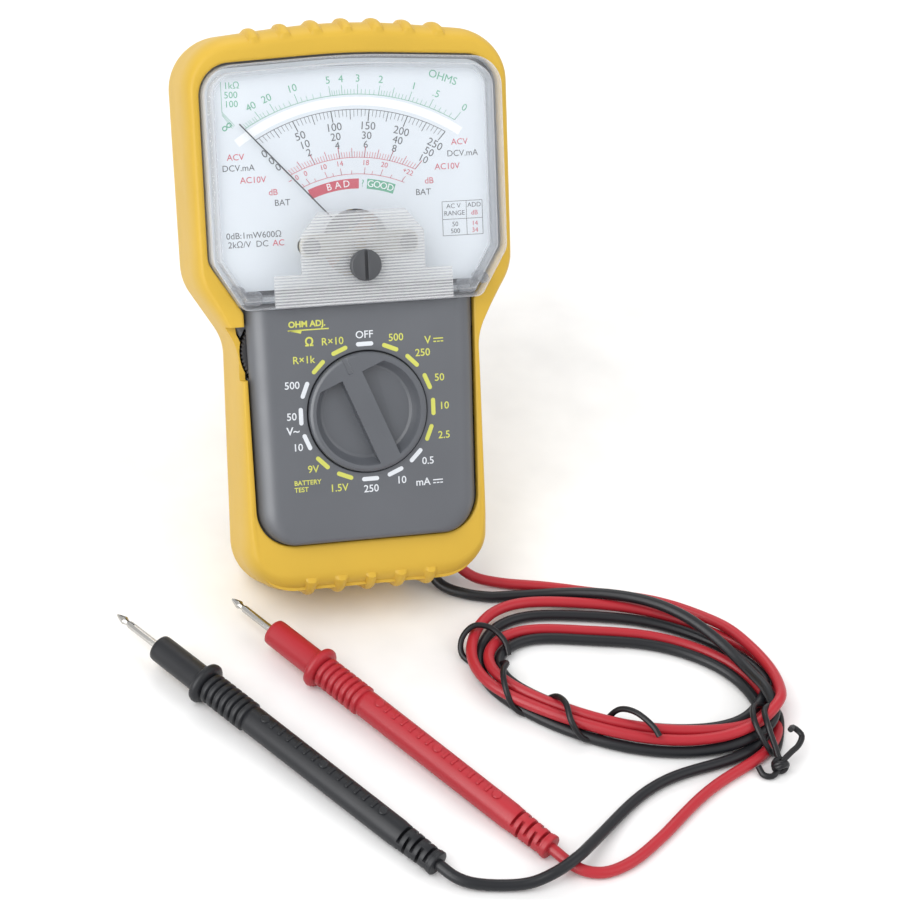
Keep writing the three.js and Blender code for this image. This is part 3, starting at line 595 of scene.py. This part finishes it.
def holster():
    corners = mirrored(HOLSTER_CORNERS, HOLSTER_CROWN)
    outline = contour(corners)
    opening = contour(mirrored(OPENING_CORNERS, OPENING_CROWN), like=corners)
    lip = 0.8
    rim = np.array([np.linalg.norm(opening[0] - point, axis=1).min() - lip for point in outline[0]])
    foot_share = np.clip((-38 - outline[0][:, 1]) / 8, 0, 1)
    wanted = RIM_ROUND[0] + (FOOT_ROUND - RIM_ROUND[0]) * foot_share
    round_in = eased(np.minimum(wanted, rim * 0.85), 14)
    back_in, back_deep = BACK_ROUND
    rim_deep = RIM_ROUND[1]

    def wall(inset, z):
        """the outside at a height, with the foot sloping in from the back to the face"""
        level = ring(outline, inset, z)
        foot = np.clip((-30 - level[:, 1]) / 20, 0, 1)
        level[:, 1] += FOOT_DRAFT * foot * min(1, max(0, (z - 6) / 16))
        return level

    back = [wall(inset, back_deep - deep) for inset, deep in reversed(bend(back_in, back_deep, 12))]
    side = [wall(0, z) for z in range(back_deep + 1, HOLSTER_FACE - rim_deep)]
    front = [wall(share * round_in, HOLSTER_FACE - rim_deep + rim_deep * deep)
             for share, deep in bend(1, 1, 16, 2.2)]
    mouth = rings(opening, [(-lip, HOLSTER_FACE), (-0.45, HOLSTER_FACE - 0.08), (-0.15, HOLSTER_FACE - 0.3),
                            (0, HOLSTER_FACE - 0.8), (0, HOLSTER_FACE - 2.4)])
    inside = contour(mirrored(CASE_CORNERS, HOLSTER_CROWN), like=corners)
    across, up = inside[0].T
    beside_wheel = np.where((across < 0) & (up > 12), np.clip((29 - up) / 3, 0, 1), 0)
    wall_width = HOLSTER_WALL + beside_wheel * np.maximum(0, -across - WHEEL_WALL - HOLSTER_WALL)
    hollow = [ring(inside, wall_width, z) for z in (CASE_TOP + 0.6, HOLSTER_BACK + 0.2)]
    body = loft("holster_skin", [*back, *side, *front, *mouth, *hollow])
    outside = len(outline[0]) * (len(back) + len(side) + len(front))
    heights = [rib_height(*vertex.co) if vertex.index < outside else 0 for vertex in body.data.vertices]
    normals = [vertex.normal.copy() for vertex in body.data.vertices]
    for vertex, normal, height in zip(body.data.vertices, normals, heights):
        vertex.co += normal * height
    x, y, radius, low, _ = WHEEL
    cut(body, block("step", (-60, y - 7.1, WHEEL_STEP), (-25, y + 7.1, 60), 0.6),
        rod(radius + 0.3, low - WHEEL_GAP, 60, (x, y), 96),
        block("lead_exit", (15, -70, -9), (60, -38, 17.5), 2.5),
        block("stand_recess", (-17.5, -41, -9), (17.5, 35.8, HOLSTER_BACK + 1), 1.0))
    settle(body, "holster", ["holster"])
    rest_on_floor(body)


def rest_on_floor(piece):
    """flattens what would sink into the floor"""
    for vertex in piece.data.vertices:
        vertex.co.z = max(vertex.co.z, 0)


# ----- case and panel
def front_case():
    case = contour(mirrored(CASE_CORNERS, HOLSTER_CROWN), 1.2)
    body = loft("front_case_shell", rings(case, [(CASE_INSET, CASE_SPLIT), (CASE_INSET, CASE_TOP - 0.6),
                                                 (CASE_INSET + 0.6, CASE_TOP)]))
    window = contour(mirrored(WINDOW_CORNERS, WINDOW_CROWN), 1.5)
    dial_hole = prism("hole", ring(window, 4.5, 0)[:, :2], CASE_TOP - 4, CASE_TOP + 2)
    cut(dial_hole, block("below", (-60, -60, 0), (60, DIAL_BOTTOM, 60)))
    hollow = prism("hollow", ring(case, CASE_INSET + 2, 0)[:, :2], CASE_SPLIT - 2, CASE_TOP - 2)
    cut(body, hollow, dial_hole, block("panel_hole", (-25, -31, CASE_TOP - 4), (25, 24, CASE_TOP + 2)))
    x, y, radius, low, high = WHEEL
    cut(combine(body, "UNION", panel()), rod(radius + 0.5, low - WHEEL_GAP, high + WHEEL_GAP, (x, y)))
    settle(body, "case", ["front_case"])


def panel():
    """the raised control panel: broad rounding down both sides, a tight edge along the bottom"""
    side, end = 6.0, 1.6
    low, high = (29.7, -34.3, 9.6), (30.7, 28.3, 0.4)
    base = mirrored([low, high])
    _, normals = contour(base, 0.6)
    across = np.where(normals[:, 1] > 0.2, 1, np.abs(normals[:, 0]) ** 1.5)
    depth = end + (side - end) * across
    levels = [ring(contour(base, 0.6), 0, CASE_TOP - 0.5)]
    for inwards, deep in bend(1, 1, 12):
        corners = mirrored([(low[0] - side * inwards, low[1] + end * inwards, low[2] - 2 * inwards),
                            (high[0] - side * inwards, *high[1:])])
        levels.append(ring(contour(corners, 0.6, like=base), 0, PANEL_FACE - depth * (1 - deep)))
    body = loft("panel", levels)
    hole = KNOB_RADIUS + 0.3
    bore = lathe("bore", [(0, PANEL_FACE - 9), (hole, PANEL_FACE - 9), (hole, PANEL_FACE - 0.25),
                          (hole + 0.2, PANEL_FACE + 0.01), (hole + 0.2, PANEL_FACE + 2),
                          (0, PANEL_FACE + 2)], 96)
    return cut(body, bore, block("hollow", (-25.5, -31.5, 20), (25.5, 24, PANEL_FACE - 2)))


# ----- window
def window():
    outline = contour(mirrored(WINDOW_CORNERS, WINDOW_CROWN), 0.6)
    foot = DIAL_FACE - 1
    edge = [(inset, WINDOW_FACE - 2.0 + deep) for inset, deep in bend(2.0, 2.0, 7)]
    outer = loft("window_outer", rings(outline, [(0, foot), (0, WINDOW_FACE - 2.4), *edge]))
    ceiling = WINDOW_FACE - WINDOW_WALL - 1.2
    inner = [(WINDOW_WALL + inset, ceiling + deep) for inset, deep in reversed(bend(1.2, 1.2, 4))]
    inside = loft("window_inner", rings(outline, [*inner, (WINDOW_WALL, foot)]))
    cut(outer, moved(inside, (0, 0, -0.01)), zero_hole(2.1))
    settle(outer, "window", ["window"])
    band("window_rebate", outline, [(2.05, 34.6), (2.05, 32.2), (3.3, 32.2), (3.3, 33.4), (2.9, 33.8),
                                    (2.9, 34.2), (2.5, 34.6)], "window")
    low, high = CASE_TOP + 0.02, CASE_TOP + 0.2
    band("window_seat", outline, [(0.9, low), (0.9, high), (2.6, high), (2.6, low)], "dial")


def band(name, outline, steps, look):
    """a closed moulding that runs round the outline"""
    settle(loft(name, rings(outline, [*steps, steps[0]]), capped=False), look)


def zero_hole(radius):
    return rod(radius, 30, 50, (0, ZERO_Y), 32)


# right half of the ribbed patch, bottom to top: x, y, corner radius
PATCH_CORNERS = [(23.8, 28.9, 0.2), (23.8, 37.2, 0.3), (16.5, 37.2, 0.3), (16.5, 47, 0.5), (11.5, 53, 0.5)]
PATCH_PITCH = 0.76


def ribbed_patch():
    """a frosted sheet inside the window, over the movement, with fine ridges across it; the ridges are a
    whiter copy of the same clear plastic, a painted highlight along each ridge
    """
    top = WINDOW_FACE - 0.7
    sheet = prism("window_patch", contour(mirrored(PATCH_CORNERS), 1.0)[0], top - 0.9, top - 0.3)
    settle(cut(sheet, zero_hole(2.4)), "frosted")
    widths, heights, _ = zip(*PATCH_CORNERS)
    ridges = []
    for k in range(int((heights[-1] - heights[0]) / PATCH_PITCH)):
        y = heights[0] + (k + 0.5) * PATCH_PITCH
        half = np.interp(y, heights, widths)
        ridges.append(block("ridge_highlight", (-half, y - PATCH_PITCH * 0.24, top - 0.3),
                            (half, y + PATCH_PITCH * 0.24, top - 0.08)))
    settle(cut(joined("window_ribs", ridges), zero_hole(2.4)), "ridge_highlight")


def window_lugs():
    """the clear moulded feet in the window's lower corners"""
    lugs = []
    for side in (-1, 1):
        middle = side * 28.75
        lugs.append(block("foot", (middle - 2.45, 29.6, DIAL_FACE + 0.4), (middle + 2.45, 33.2, 36.5), 1.2))
        post = lathe("post", [(0, DIAL_FACE), (1.5, DIAL_FACE), (1.5, 37.4), (1.1, 37.8), (0, 37.8)], 24)
        lugs.append(moved(post, (side * 32.6, 33.4, 0)))
    settle(joined("window_lugs", lugs), "lug")


# ----- printing
class Print:
    """flat marks in one colour, gathered and then laid just above a face"""

    def __init__(self):
        self.marks = bmesh.new()

    def polygon(self, points):
        self.marks.faces.new([self.marks.verts.new((*p, 0)) for p in points])

    def line(self, start, end, width):
        start, end = Vector(start), Vector(end)
        side = (end - start).normalized() * width / 2
        side = Vector((-side.y, side.x))
        self.polygon([start - side, end - side, end + side, start + side])

    def arc(self, centre, radius, width, start, end):
        """a band round the centre, between two angles left of straight up"""
        steps = max(2, round(abs(end - start) / radians(2)))
        angles = [start + (end - start) * k / steps for k in range(steps + 1)]
        edge = [[Vector(centre) + Vector((-sin(a), cos(a))) * r for a in angles]
                for r in (radius - width / 2, radius + width / 2)]
        for k in range(steps):
            self.polygon([edge[0][k], edge[0][k + 1], edge[1][k + 1], edge[1][k]])

    def text(self, words, place, size, bold=0.0, turn=0.0, align="CENTER"):
        data = bpy.data.curves.new("words", "FONT")
        data.body = words
        data.size = size
        data.resolution_u = 3
        data.offset = bold
        data.align_x = align
        data.align_y = "CENTER"
        holder = new_object("words", data)
        mesh = bpy.data.meshes.new_from_object(holder)
        mesh.transform(Matrix.Translation((*place, 0)) @ Matrix.Rotation(turn, 4, "Z"))
        self.marks.from_mesh(mesh)
        bpy.data.objects.remove(holder)
        bpy.data.meshes.remove(mesh)

    def texts(self, size, *labels):
        for words, x, y in labels:
            self.text(words, (x, y), size)

    def lay(self, name, look, z, slot):
        self.marks.normal_update()
        bmesh.ops.solidify(self.marks, geom=self.marks.faces[:], thickness=0.03)
        bmesh.ops.recalc_face_normals(self.marks, faces=self.marks.faces)
        lowest = min(vertex.co.z for vertex in self.marks.verts)
        settle(moved(from_bmesh(name, self.marks), (0, 0, z + 0.01 - lowest)), look)


# ----- dial
ARC_CENTRE = (0, 28)
SWEEP = radians(42.4)  # the needle's angle at either end of a scale


def scale_point(share, radius):
    """where the needle, at that share of its travel, crosses a scale's arc"""
    turn = SWEEP * (1 - 2 * share)
    rise = PIVOT_Y - ARC_CENTRE[1]
    reach = sqrt((rise * cos(turn)) ** 2 - rise ** 2 + radius ** 2) - rise * cos(turn)
    return Vector((-sin(turn), cos(turn))) * reach + Vector((0, PIVOT_Y)), turn


def arc_angle(share, radius):
    """the same place as an angle about the arcs' centre, left of straight up"""
    point, _ = scale_point(share, radius)
    return atan2(-point.x, point.y - ARC_CENTRE[1])


def ticks(prints, shares, radius, length, width):
    for share in shares:
        point, turn = scale_point(share, radius)
        prints.line(point, point + Vector((-sin(turn), cos(turn))) * length, width)


def scale_arc(prints, radius, width, first=0.0, last=1.0):
    prints.arc(ARC_CENTRE, radius, width, arc_angle(first, radius), arc_angle(last, radius))


def figures(prints, labels, radius, size):
    for share, words in labels:
        angle = arc_angle(share, radius)
        place = Vector(ARC_CENTRE) + Vector((-sin(angle), cos(angle))) * radius
        prints.text(words, place, size, turn=angle)


def even_ticks(prints, radius, rows):
    """ticks at even shares of a scale: each row gives their number, length and width"""
    for divisions, length, width in rows:
        ticks(prints, [k / divisions for k in range(divisions + 1)], radius, length, width)


def ohms_share(value):
    """an ohms scale runs backwards and crowds towards infinity; its middle reads 3.5"""
    return 3.5 / (3.5 + value)


def ohms_scale():
    green = Print()
    radius = 54.6
    scale_arc(green, radius, 0.14)
    numbered = [0, 0.5, 1, 1.5, 2, 3, 4, 5, 10, 20, 40]
    fine = [k / 10 for k in range(20)] + [2 + k / 5 for k in range(15)] + list(range(5, 10))
    crowded = [12, 14, 16, 18, 25, 30, 35, 50, 60, 80, 100, 150, 300, 1e9]
    ticks(green, [ohms_share(v) for v in fine + crowded], radius, 1.3, 0.1)
    ticks(green, [ohms_share(v) for v in numbered], radius, 2.5, 0.14)
    labels = [(ohms_share(v), f"{v:g}".lstrip("0") or "0") for v in numbered if v != 1.5]
    figures(green, labels, 58.6, 2.7)
    for words, y in (("1kΩ", 86.0), ("500", 83.6), ("100", 81.3)):
        green.text(words, (-33.0, y), 2.4, align="LEFT")
    green.text("∞", (-32.6, 75.6), 3.4, turn=radians(35))
    green.line((-33.7, 87.2), (-33.7, 79.2), 0.12)
    for drop in (0, 1.1, 2.2):
        green.line((-33.7, 79.4 - drop / 3), (-30.6 - drop / 4, 75.9 - drop * 0.35), 0.1)
    green.text("OHMS", (25.3, 85.9), 2.9, turn=radians(-20))
    return green


def dc_scale():
    black = Print()
    radius = 50.7
    scale_arc(black, radius, 0.16)
    even_ticks(black, radius, [(50, -1.7, 0.12), (25, -1.9, 0.12), (10, -2.6, 0.18), (5, -3.0, 0.24)])
    for radius, size, full in ((46.4, 2.9, 250), (43.9, 2.8, 50), (41.6, 2.7, 10)):
        # the first figures stand clear of the needle
        figures(black, [(k / 5 or -0.015, str(full * k // 5)) for k in range(6)], radius, size)
    black.texts(2.3, ("DCV.mA", -30.2, 64.9), ("BAT", -19.1, 55.5), ("DCV.mA", 29.9, 66.0),
                ("BAT", 18.8, 56.3), ("0dB:1mW600Ω", -27, 47.5), ("2kΩ/V  DC", -28.6, 45.2))
    black.texts(1.75, ("AC V", 26.9, 52.2), ("RANGE", 27.1, 50.3), ("ADD", 32.6, 52.3),
                ("50", 27.2, 47.4), ("500", 27.2, 45.6))
    corners = [(23.8, 44.5), (34.8, 44.5), (34.8, 53.5), (23.8, 53.5)]
    for start, end in zip(corners, corners[1:] + corners[:1]):
        black.line(start, end, 0.13)
    black.line((30.4, 44.5), (30.4, 53.5), 0.13)
    black.line((23.8, 48.8), (34.8, 48.8), 0.13)
    return black


def ac_scale():
    red = Print()
    radius = 38.3
    scale_arc(red, radius, 0.14)
    even_ticks(red, radius, [(50, 1.5, 0.12), (10, 2.4, 0.16), (5, 2.9, 0.2)])
    volts = {-10: 0.245, 0: 0.775, 5: 1.378, 10: 2.45, 12: 3.08, 14: 3.88, 16: 4.89, 18: 6.15, 19: 6.9,
             20: 7.75, 21: 8.69, 22: 9.75}
    radius = 34
    scale_arc(red, radius, 0.14)
    ticks(red, [v / 10 for v in volts.values()], radius, 0.9, 0.12)
    ticks(red, [volts[level] / 10 for level in (0, 10, 14, 18, 20, 22)], radius, 1.7, 0.14)
    figures(red, [(0.0, "−10"), (0.1, "0"), (0.25, "10"), (0.39, "14"), (0.615, "18"), (0.775, "20"),
                  (0.97, "+22")], 36.9, 1.9)
    scale_arc(red, 31.5, 2.6, 0.01, 0.565)
    red.texts(2.3, ("ACV", -30.8, 67.7), ("AC10V", -26.5, 61.7), ("dB", -21.4, 58.3), ("ACV", 29.2, 69.0),
              ("AC10V", 25.6, 62.7), ("dB", 20.5, 59.2), ("AC", -20.6, 45.2))
    red.texts(1.75, ("dB", 32.6, 50.2), ("14", 32.6, 47.4), ("34", 32.6, 45.6))
    return red


def battery_marks():
    good, pale = Print(), Print()
    scale_arc(good, 31.5, 2.6, 0.66, 0.96)
    figures(good, [(0.61, "?")], 31.5, 2.6)
    for words, first, last in (("BAD", 0.22, 0.42), ("GOOD", 0.70, 0.92)):
        for k, letter in enumerate(words):
            share = first + (last - first) * k / (len(words) - 1)
            figures(pale, [(share, letter)], 31.5, 2.5)
    return good, pale


def dial():
    # the dial's mirror band is laid as a flat white print, not a mirror: its white is a painted reflection
    # of the bright surroundings
    mirror_band = Print()
    mirror_band.arc(ARC_CENTRE, 52.8, 2.2, radians(35), radians(-34))
    good, pale = battery_marks()
    for name, prints, look, raised in (
            ("white_band", mirror_band, "white_ink_and_painted_reflection", 0), ("green_print", ohms_scale(), "green_ink", 0),
            ("black_print", dc_scale(), "dial_ink", 0), ("red_print", ac_scale(), "red_ink", 0),
            ("good_print", good, "green_ink", 0), ("pale_print", pale, "white_ink_and_painted_reflection", 0.03)):
        prints.lay(f"dial_{name}", look, DIAL_FACE + raised, "dial")


# ----- panel printing
MARK_RADIUS = 17.9
YELLOW_MARKS = {1, 2, 3, 4, 5, 9, 10, 14, 15}
# the selector's sixteen positions, clockwise from the top: the label and its place
LABELS = [("OFF", 0, 20.3), ("500", 8.5, 19.0), ("250", 15.6, 14.5), ("50", 19.9, 7.6), ("10", 20.9, 0),
          ("2.5", 20.6, -7.8), ("0.5", 15.9, -14.4), ("10", 8.4, -19.0), ("250", 0.1, -20.6),
          ("1.5V", -8.6, -19.7), ("9V", -15.3, -14.2), ("10", -19.1, -8.2), ("50", -20.4, 0),
          ("500", -19.9, 8.2), ("R×1k", -16.5, 14.7), ("R×10", -8.6, 19.1)]


def capsule(prints, start, end, width):
    """a short bar with round ends"""
    start, end = Vector(start), Vector(end)
    along = (end - start).normalized() * width / 2
    points = []
    for centre, first in ((end, -90), (start, 90)):
        for k in range(9):
            points.append(centre + Matrix.Rotation(radians(first + 22.5 * k), 2) @ along)
    prints.polygon(points)


def steady_current(prints, place):
    """the direct current sign: a line over three dashes"""
    x, y = place
    prints.line((x - 1.35, y + 0.35), (x + 1.35, y + 0.35), 0.3)
    for k in (-1, 0, 1):
        prints.line((x + k * 0.98 - 0.36, y - 0.45), (x + k * 0.98 + 0.36, y - 0.45), 0.3)


def panel_print():
    yellow, white = Print(), Print()
    for k, (words, *place) in enumerate(LABELS):
        prints = yellow if k in YELLOW_MARKS else white
        turn = -2 * pi * k / 16
        middle = Vector((-sin(turn), cos(turn))) * MARK_RADIUS
        along = Vector((cos(turn), sin(turn))) * 1.75
        capsule(prints, middle - along, middle + along, 1.15)
        prints.text(words, place, 2.75, 0.025)
    steady_current(yellow, (20.0, 17.7))
    steady_current(white, (18.4, -20.0))
    for prints, words, place, size, bold in (
            (yellow, "V", (17.1, 17.7), 2.9, 0.03), (white, "mA", (14.3, -20.0), 2.8, 0.03),
            (white, "V~", (-20.2, -3.8), 2.9, 0.05), (yellow, "Ω", (-14.8, 19.3), 3.1, 0.08),
            (yellow, "OHM ADJ.", (-15.2, 24.1), 2.2, 0.07)):
        prints.text(words, place, size, bold)
    yellow.line((-20.3, 22.6), (-9.4, 22.6), 0.32)
    yellow.polygon([(-20.6, 22.7), (-16.9, 21.7), (-16.6, 22.5)])
    for words, y in (("BATTERY", -17.6), ("TEST", -19.4)):
        yellow.text(words, (-20.6, y), 1.75, 0.03, align="LEFT")
    yellow.lay("panel_yellow_print", "yellow_ink", PANEL_FACE, "case_grey")
    white.lay("panel_white_print", "label_ink", PANEL_FACE, "case_grey")


# ----- selector, needle and adjusters
def half_dish(side):
    """a cutter for one finger recess: a half disc cut short at the pointer's end, with a steep wall
    along the bar and a sloping one round the rim"""
    def outline(radius, straight, end):
        low, high = -acos(straight / radius), asin(end / radius)
        arc = [low + (high - low) * k / 40 for k in range(41)]
        return [*((radius * cos(a), radius * sin(a)) for a in arc), (straight, end)]
    levels = ((14.3, 2.85, 10.7, 1.0), (14.15, 2.9, 10.6, 0.0), (13.7, 2.95, 10.4, -1.0),
              (13.1, 3.0, 10.2, -2.0), (12.4, 3.05, 10.0, -2.8), (11.7, 3.1, 9.8, -3.1))
    return loft("dish", [np.array([(side * x, y, KNOB_FACE + z) for x, y in outline(radius, straight, end)])
                         for radius, straight, end, z in levels])


def selector_knob():
    low = 31.2
    body = lathe("range_knob", [(0, 26.3), (3.5, 26.3), (3.5, low), (17.2, low), (17.2, 33.3),
                                (KNOB_RADIUS, 33.3), (KNOB_RADIUS, KNOB_FACE - 0.9),
                                (KNOB_RADIUS - 0.25, KNOB_FACE - 0.3), (KNOB_RADIUS - 0.9, KNOB_FACE),
                                (0, KNOB_FACE)], 120)
    groove = block("groove", (-0.75, 11.2, KNOB_FACE - 0.4), (0.75, 17, KNOB_FACE + 2), 0.35)
    cut(body, half_dish(1), half_dish(-1), groove)
    soften(body, 0.22)
    settle(turned(body, KNOB_TURN), "knob", ["selector_knob"], "selector", sharp=20)


def needle():
    blade = block("blade", (-0.17, 1.5, 32.78), (0.17, POINTER_LENGTH, 33.02))
    tail = block("tail", (-0.5, -7.5, 32.7), (0.5, 1, 33.1), 0.1)
    arms = block("arms", (-6, -0.4, 32.7), (6, 0.4, 33.1), 0.1)
    weight = block("weight", (-1.3, -7.5, 32.5), (1.3, -5.5, 33.3), 0.2)
    hub = lathe("hub", [(0, 32.4), (2, 32.4), (2, 33.2), (1.8, 33.4), (0, 33.4)], 32)
    whole = joined("needle_blade", [blade, tail, arms, weight, hub])
    moved(turned(whole, POINTER_REST), (0, PIVOT_Y, 0))
    settle(whole, "black_ink", ["pointer"], "needle")


def zero_screw():
    face = 42.1
    head = lathe("zero_head", [(0, 37.2), (1.7, 37.2), (1.7, 40.3), (3.9, 40.3), (4.1, 40.5),
                               (4.1, face - 0.35), (3.8, face), (0, face)], 72)
    slot = block("slot", (-0.42, -6, face - 1.0), (0.42, 6, face + 2))
    soften(cut(head, slot), 0.08)
    pin = rod(0.6, 35.7, 37.4, (0, 1.2), 20)
    whole = moved(joined("zero_screw_head", [head, pin]), (0, ZERO_Y, 0))
    settle(whole, "screw", ["zero_screw"], "zero_adjuster")


def thumbwheel():
    x, y, radius, low, high = WHEEL
    teeth = 64
    rim = []
    for k in range(teeth * 4):
        wave = 0.5 + 0.5 * cos(2 * pi * k / 4)
        reach = radius - 0.45 + 0.45 * wave
        turn = 2 * pi * k / (teeth * 4)
        rim.append((reach * cos(turn), reach * sin(turn)))
    levels = ((0.965, low), (1.0, low + 0.4), (1.0, high - 0.4), (0.965, high))
    wheel = loft("ohm_wheel", [at_height(np.array(rim) * size, z) for size, z in levels])
    cut(wheel, rod(1.9, 20, 40, sides=24))
    settle(moved(wheel, (x, y, 0)), "dark", ["ohm_thumbwheel"], "ohm_adjuster")


# ----- probes
# where the probe's parts end, measured from its tip
PROBE = {"bare": 15.5, "barrel": 32, "flange": 34.4, "grip": 49, "handle": 101, "end": 113.5}
GRIP_RINGS = 7
RELIEF_SLOTS = 5  # pairs of slots along the strain relief


def probe_handle():
    bare, barrel, flange, grip, handle, end = PROBE.values()
    pitch = (grip - flange) / GRIP_RINGS
    profile = [(0, bare + 4), (1.35, bare + 4), (1.35, bare + 0.2), (3.2, bare + 0.2), (3.55, bare + 0.5),
               (3.7, bare + 1.4), (3.75, barrel - 0.9), (3.9, barrel - 0.3), (5.0, barrel - 0.1),
               (5.5, barrel + 0.25), (5.7, barrel + 0.9), (5.65, flange - 0.9), (5.2, flange - 0.3),
               (4.2, flange)]
    for k in range(GRIP_RINGS):
        start = flange + k * pitch
        for share, radius in ((0.04, 3.3), (0.2, 3.3), (0.25, 3.9), (0.34, 4.15), (0.84, 4.15), (0.94, 3.9)):
            profile.append((radius, start + share * pitch))
    profile += [(3.4, grip), (3.62, grip + 0.4), (3.72, grip + 1.2), (3.6, handle - 1),
                (3.5, handle), (3.1, end - 1.6), (3.3, end - 1.4), (3.35, end - 0.3), (3.1, end), (0, end)]
    body = lathe("handle", profile, 64)
    slots = []
    step = (end - 2 - handle) / RELIEF_SLOTS
    for k in range(RELIEF_SLOTS):
        start = handle + (k + 0.55) * step
        for side in (-1, 1):
            slot = block("slot", (1.0, -6, start), (6, 6, start + step * 0.42), 0.12)
            slots.append(turned(slot, pi / 2 * (side + k % 2)))
    cut(body, *slots)
    return soften(body, 0.15, angle=50)


def raised_marks():
    """a row of plain raised dots and bars along the handle, where it would carry moulded marks"""
    marks = []
    for k in range(15):
        place = PROBE["grip"] + 5 + k * 2.9
        if k % 7 == 0:
            disc = lathe("mark", [(0, 3.2), (1.3, 3.2), (1.3, 3.8), (1.1, 4.0), (0, 4.0)], 24)
            marks.append(moved(turned(disc, pi / 2, "X"), (0, 0, place)))
        else:
            marks.append(block("mark", (-1.25, -3.95, place - 0.45), (1.25, -3.0, place + 0.45), 0.2))
    return marks


def probe(colour):
    tip, end = (Vector(p) for p in PROBES[colour])
    along = (end - tip).normalized()
    across = along.cross(UP).normalized()
    turn = Matrix((across, along.cross(across), along)).transposed().to_4x4()
    place = FLOOR @ Matrix.Translation(tip) @ turn
    handle = joined(f"probe_{colour}_handle", [probe_handle(), *raised_marks()])
    settle(handle, f"probe_{colour}", [f"probe_handle_{colour}"], place=place, sharp=40)
    rest_on_floor(handle)
    bare = PROBE["bare"]
    metal = lathe(f"probe_{colour}_tip", [
        (0, 0), (0.25, 0.2), (0.6, 1.0), (1.1, 2.6), (1.15, 3.0), (0.75, 3.8), (0.72, 4.4),
        (1.0, 5.0), (1.0, bare + 3.6), (0, bare + 3.6)], 32)
    cut(metal, block("slit", (-0.14, -2, 1.2), (0.14, 2, 6.5)))
    settle(metal, "nickel", [f"probe_tip_{colour}"], place=place)
    return [handle, metal]


# ----- materials in use
MATERIALS = {
    "floor": surface((0.90, 0.90, 0.90), 0.7),
    "holster": surface((0.62, 0.395, 0.048), 0.46, grain=0.12, grain_size=0.35, mottle=0.03, specular=0.22),
    "stand": surface((0.62, 0.395, 0.048), 0.45, grain=0.12, grain_size=0.35),
    "case": surface((0.108, 0.115, 0.129), 0.40, grain=0.22, grain_size=0.28),
    "screw": surface((0.055, 0.058, 0.065), 0.42, grain=0.15, grain_size=0.28),
    "knob": surface((0.098, 0.105, 0.119), 0.38, grain=0.15, grain_size=0.28),
    "dark": surface((0.02, 0.02, 0.023), 0.5, grain=0.2),
    "dial": surface((0.74, 0.79, 0.84), 0.55, mottle=0.01),
    "cream": surface((0.80, 0.76, 0.60), 0.5),
    "window": clear((0.84, 0.87, 0.92), 0.035, 0.72),
    "frosted": clear((0.72, 0.73, 0.75), 0.28, 0.7, 0.35),
    # the ridges' whiter tint is a painted highlight, where light catches each ridge of the frosted plastic
    "ridge_highlight": clear((0.95, 0.96, 0.97), 0.42, 0.8, 0.3),
    "lug": clear((0.40, 0.42, 0.46), 0.2, 0.8, 0.08),
    "nickel": surface((0.50, 0.49, 0.47), 0.24, metallic=1, uneven=0.05),
    "steel": surface((0.60, 0.61, 0.63), 0.3, metallic=1),
    "brass": surface((0.72, 0.55, 0.25), 0.3, metallic=1),
    "copper": surface((0.62, 0.30, 0.14), 0.35, metallic=1),
    "magnet": surface((0.10, 0.10, 0.11), 0.5, metallic=0.6, grain=0.3),
    "board": surface((0.05, 0.22, 0.10), 0.45, grain=0.15),
    "cell": surface((0.35, 0.08, 0.05), 0.35),
    "tie": surface((0.010, 0.010, 0.012), 0.35, grain=0.1, specular=0.3),
    "black_ink": surface((0.045, 0.048, 0.055), 0.5),
    "dial_ink": surface((0.10, 0.105, 0.115), 0.5),
    "green_ink": surface((0.13, 0.43, 0.28), 0.5),
    "red_ink": surface((0.60, 0.07, 0.11), 0.5),
    "yellow_ink": surface((0.58, 0.59, 0.11), 0.5),
    # real white print for the battery letters, and a painted reflection on the dial's mirror band
    "white_ink_and_painted_reflection": surface((0.93, 0.95, 0.97), 0.5),
    "label_ink": surface((0.68, 0.71, 0.75), 0.5),
}
for colour, shade, specular in (("black", (0.013, 0.014, 0.017), 0.3), ("red", (0.43, 0.019, 0.030), 0.35)):
    MATERIALS[f"lead_{colour}"] = surface(shade, 0.36, grain=0.1, grain_size=0.5, specular=specular)
    MATERIALS[f"probe_{colour}"] = surface(shade, 0.42, grain=0.12, specular=specular)
for name, material in MATERIALS.items():
    material.name = name
# the CAD's material slots whose looks have another name here
SLOT_LOOKS = {"case_grey": "case", "cream_plastic": "cream", "dark_plastic": "dark", "fuse_glass": "window",
              "clear_window": "window"}


def dress_cad_nodes():
    for node in frame["nodes"].values():
        slots = node.data.materials
        for k, slot in enumerate(slots):
            slots[k] = MATERIALS[SLOT_LOOKS.get(slot.name, slot.name)]


# ----- the whole object
camera()
leads = test_leads()
ties = tie_pieces()
probes = {colour: probe(colour) for colour in ("black", "red")}
for colour, (lead, start, length) in leads.items():
    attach(lead, "meter")
    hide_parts(f"lead_{colour}_run", f"lead_{colour}_tail")
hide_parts("lead_coil")
for tie in ties:
    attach(tie, "meter")
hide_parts("twist_tie_side")
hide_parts("twist_tie_end")

holster()
front_case()
window()
ribbed_patch()
window_lugs()
dial()
panel_print()
selector_knob()
needle()
zero_screw()
thumbwheel()
dress_cad_nodes()
studio()
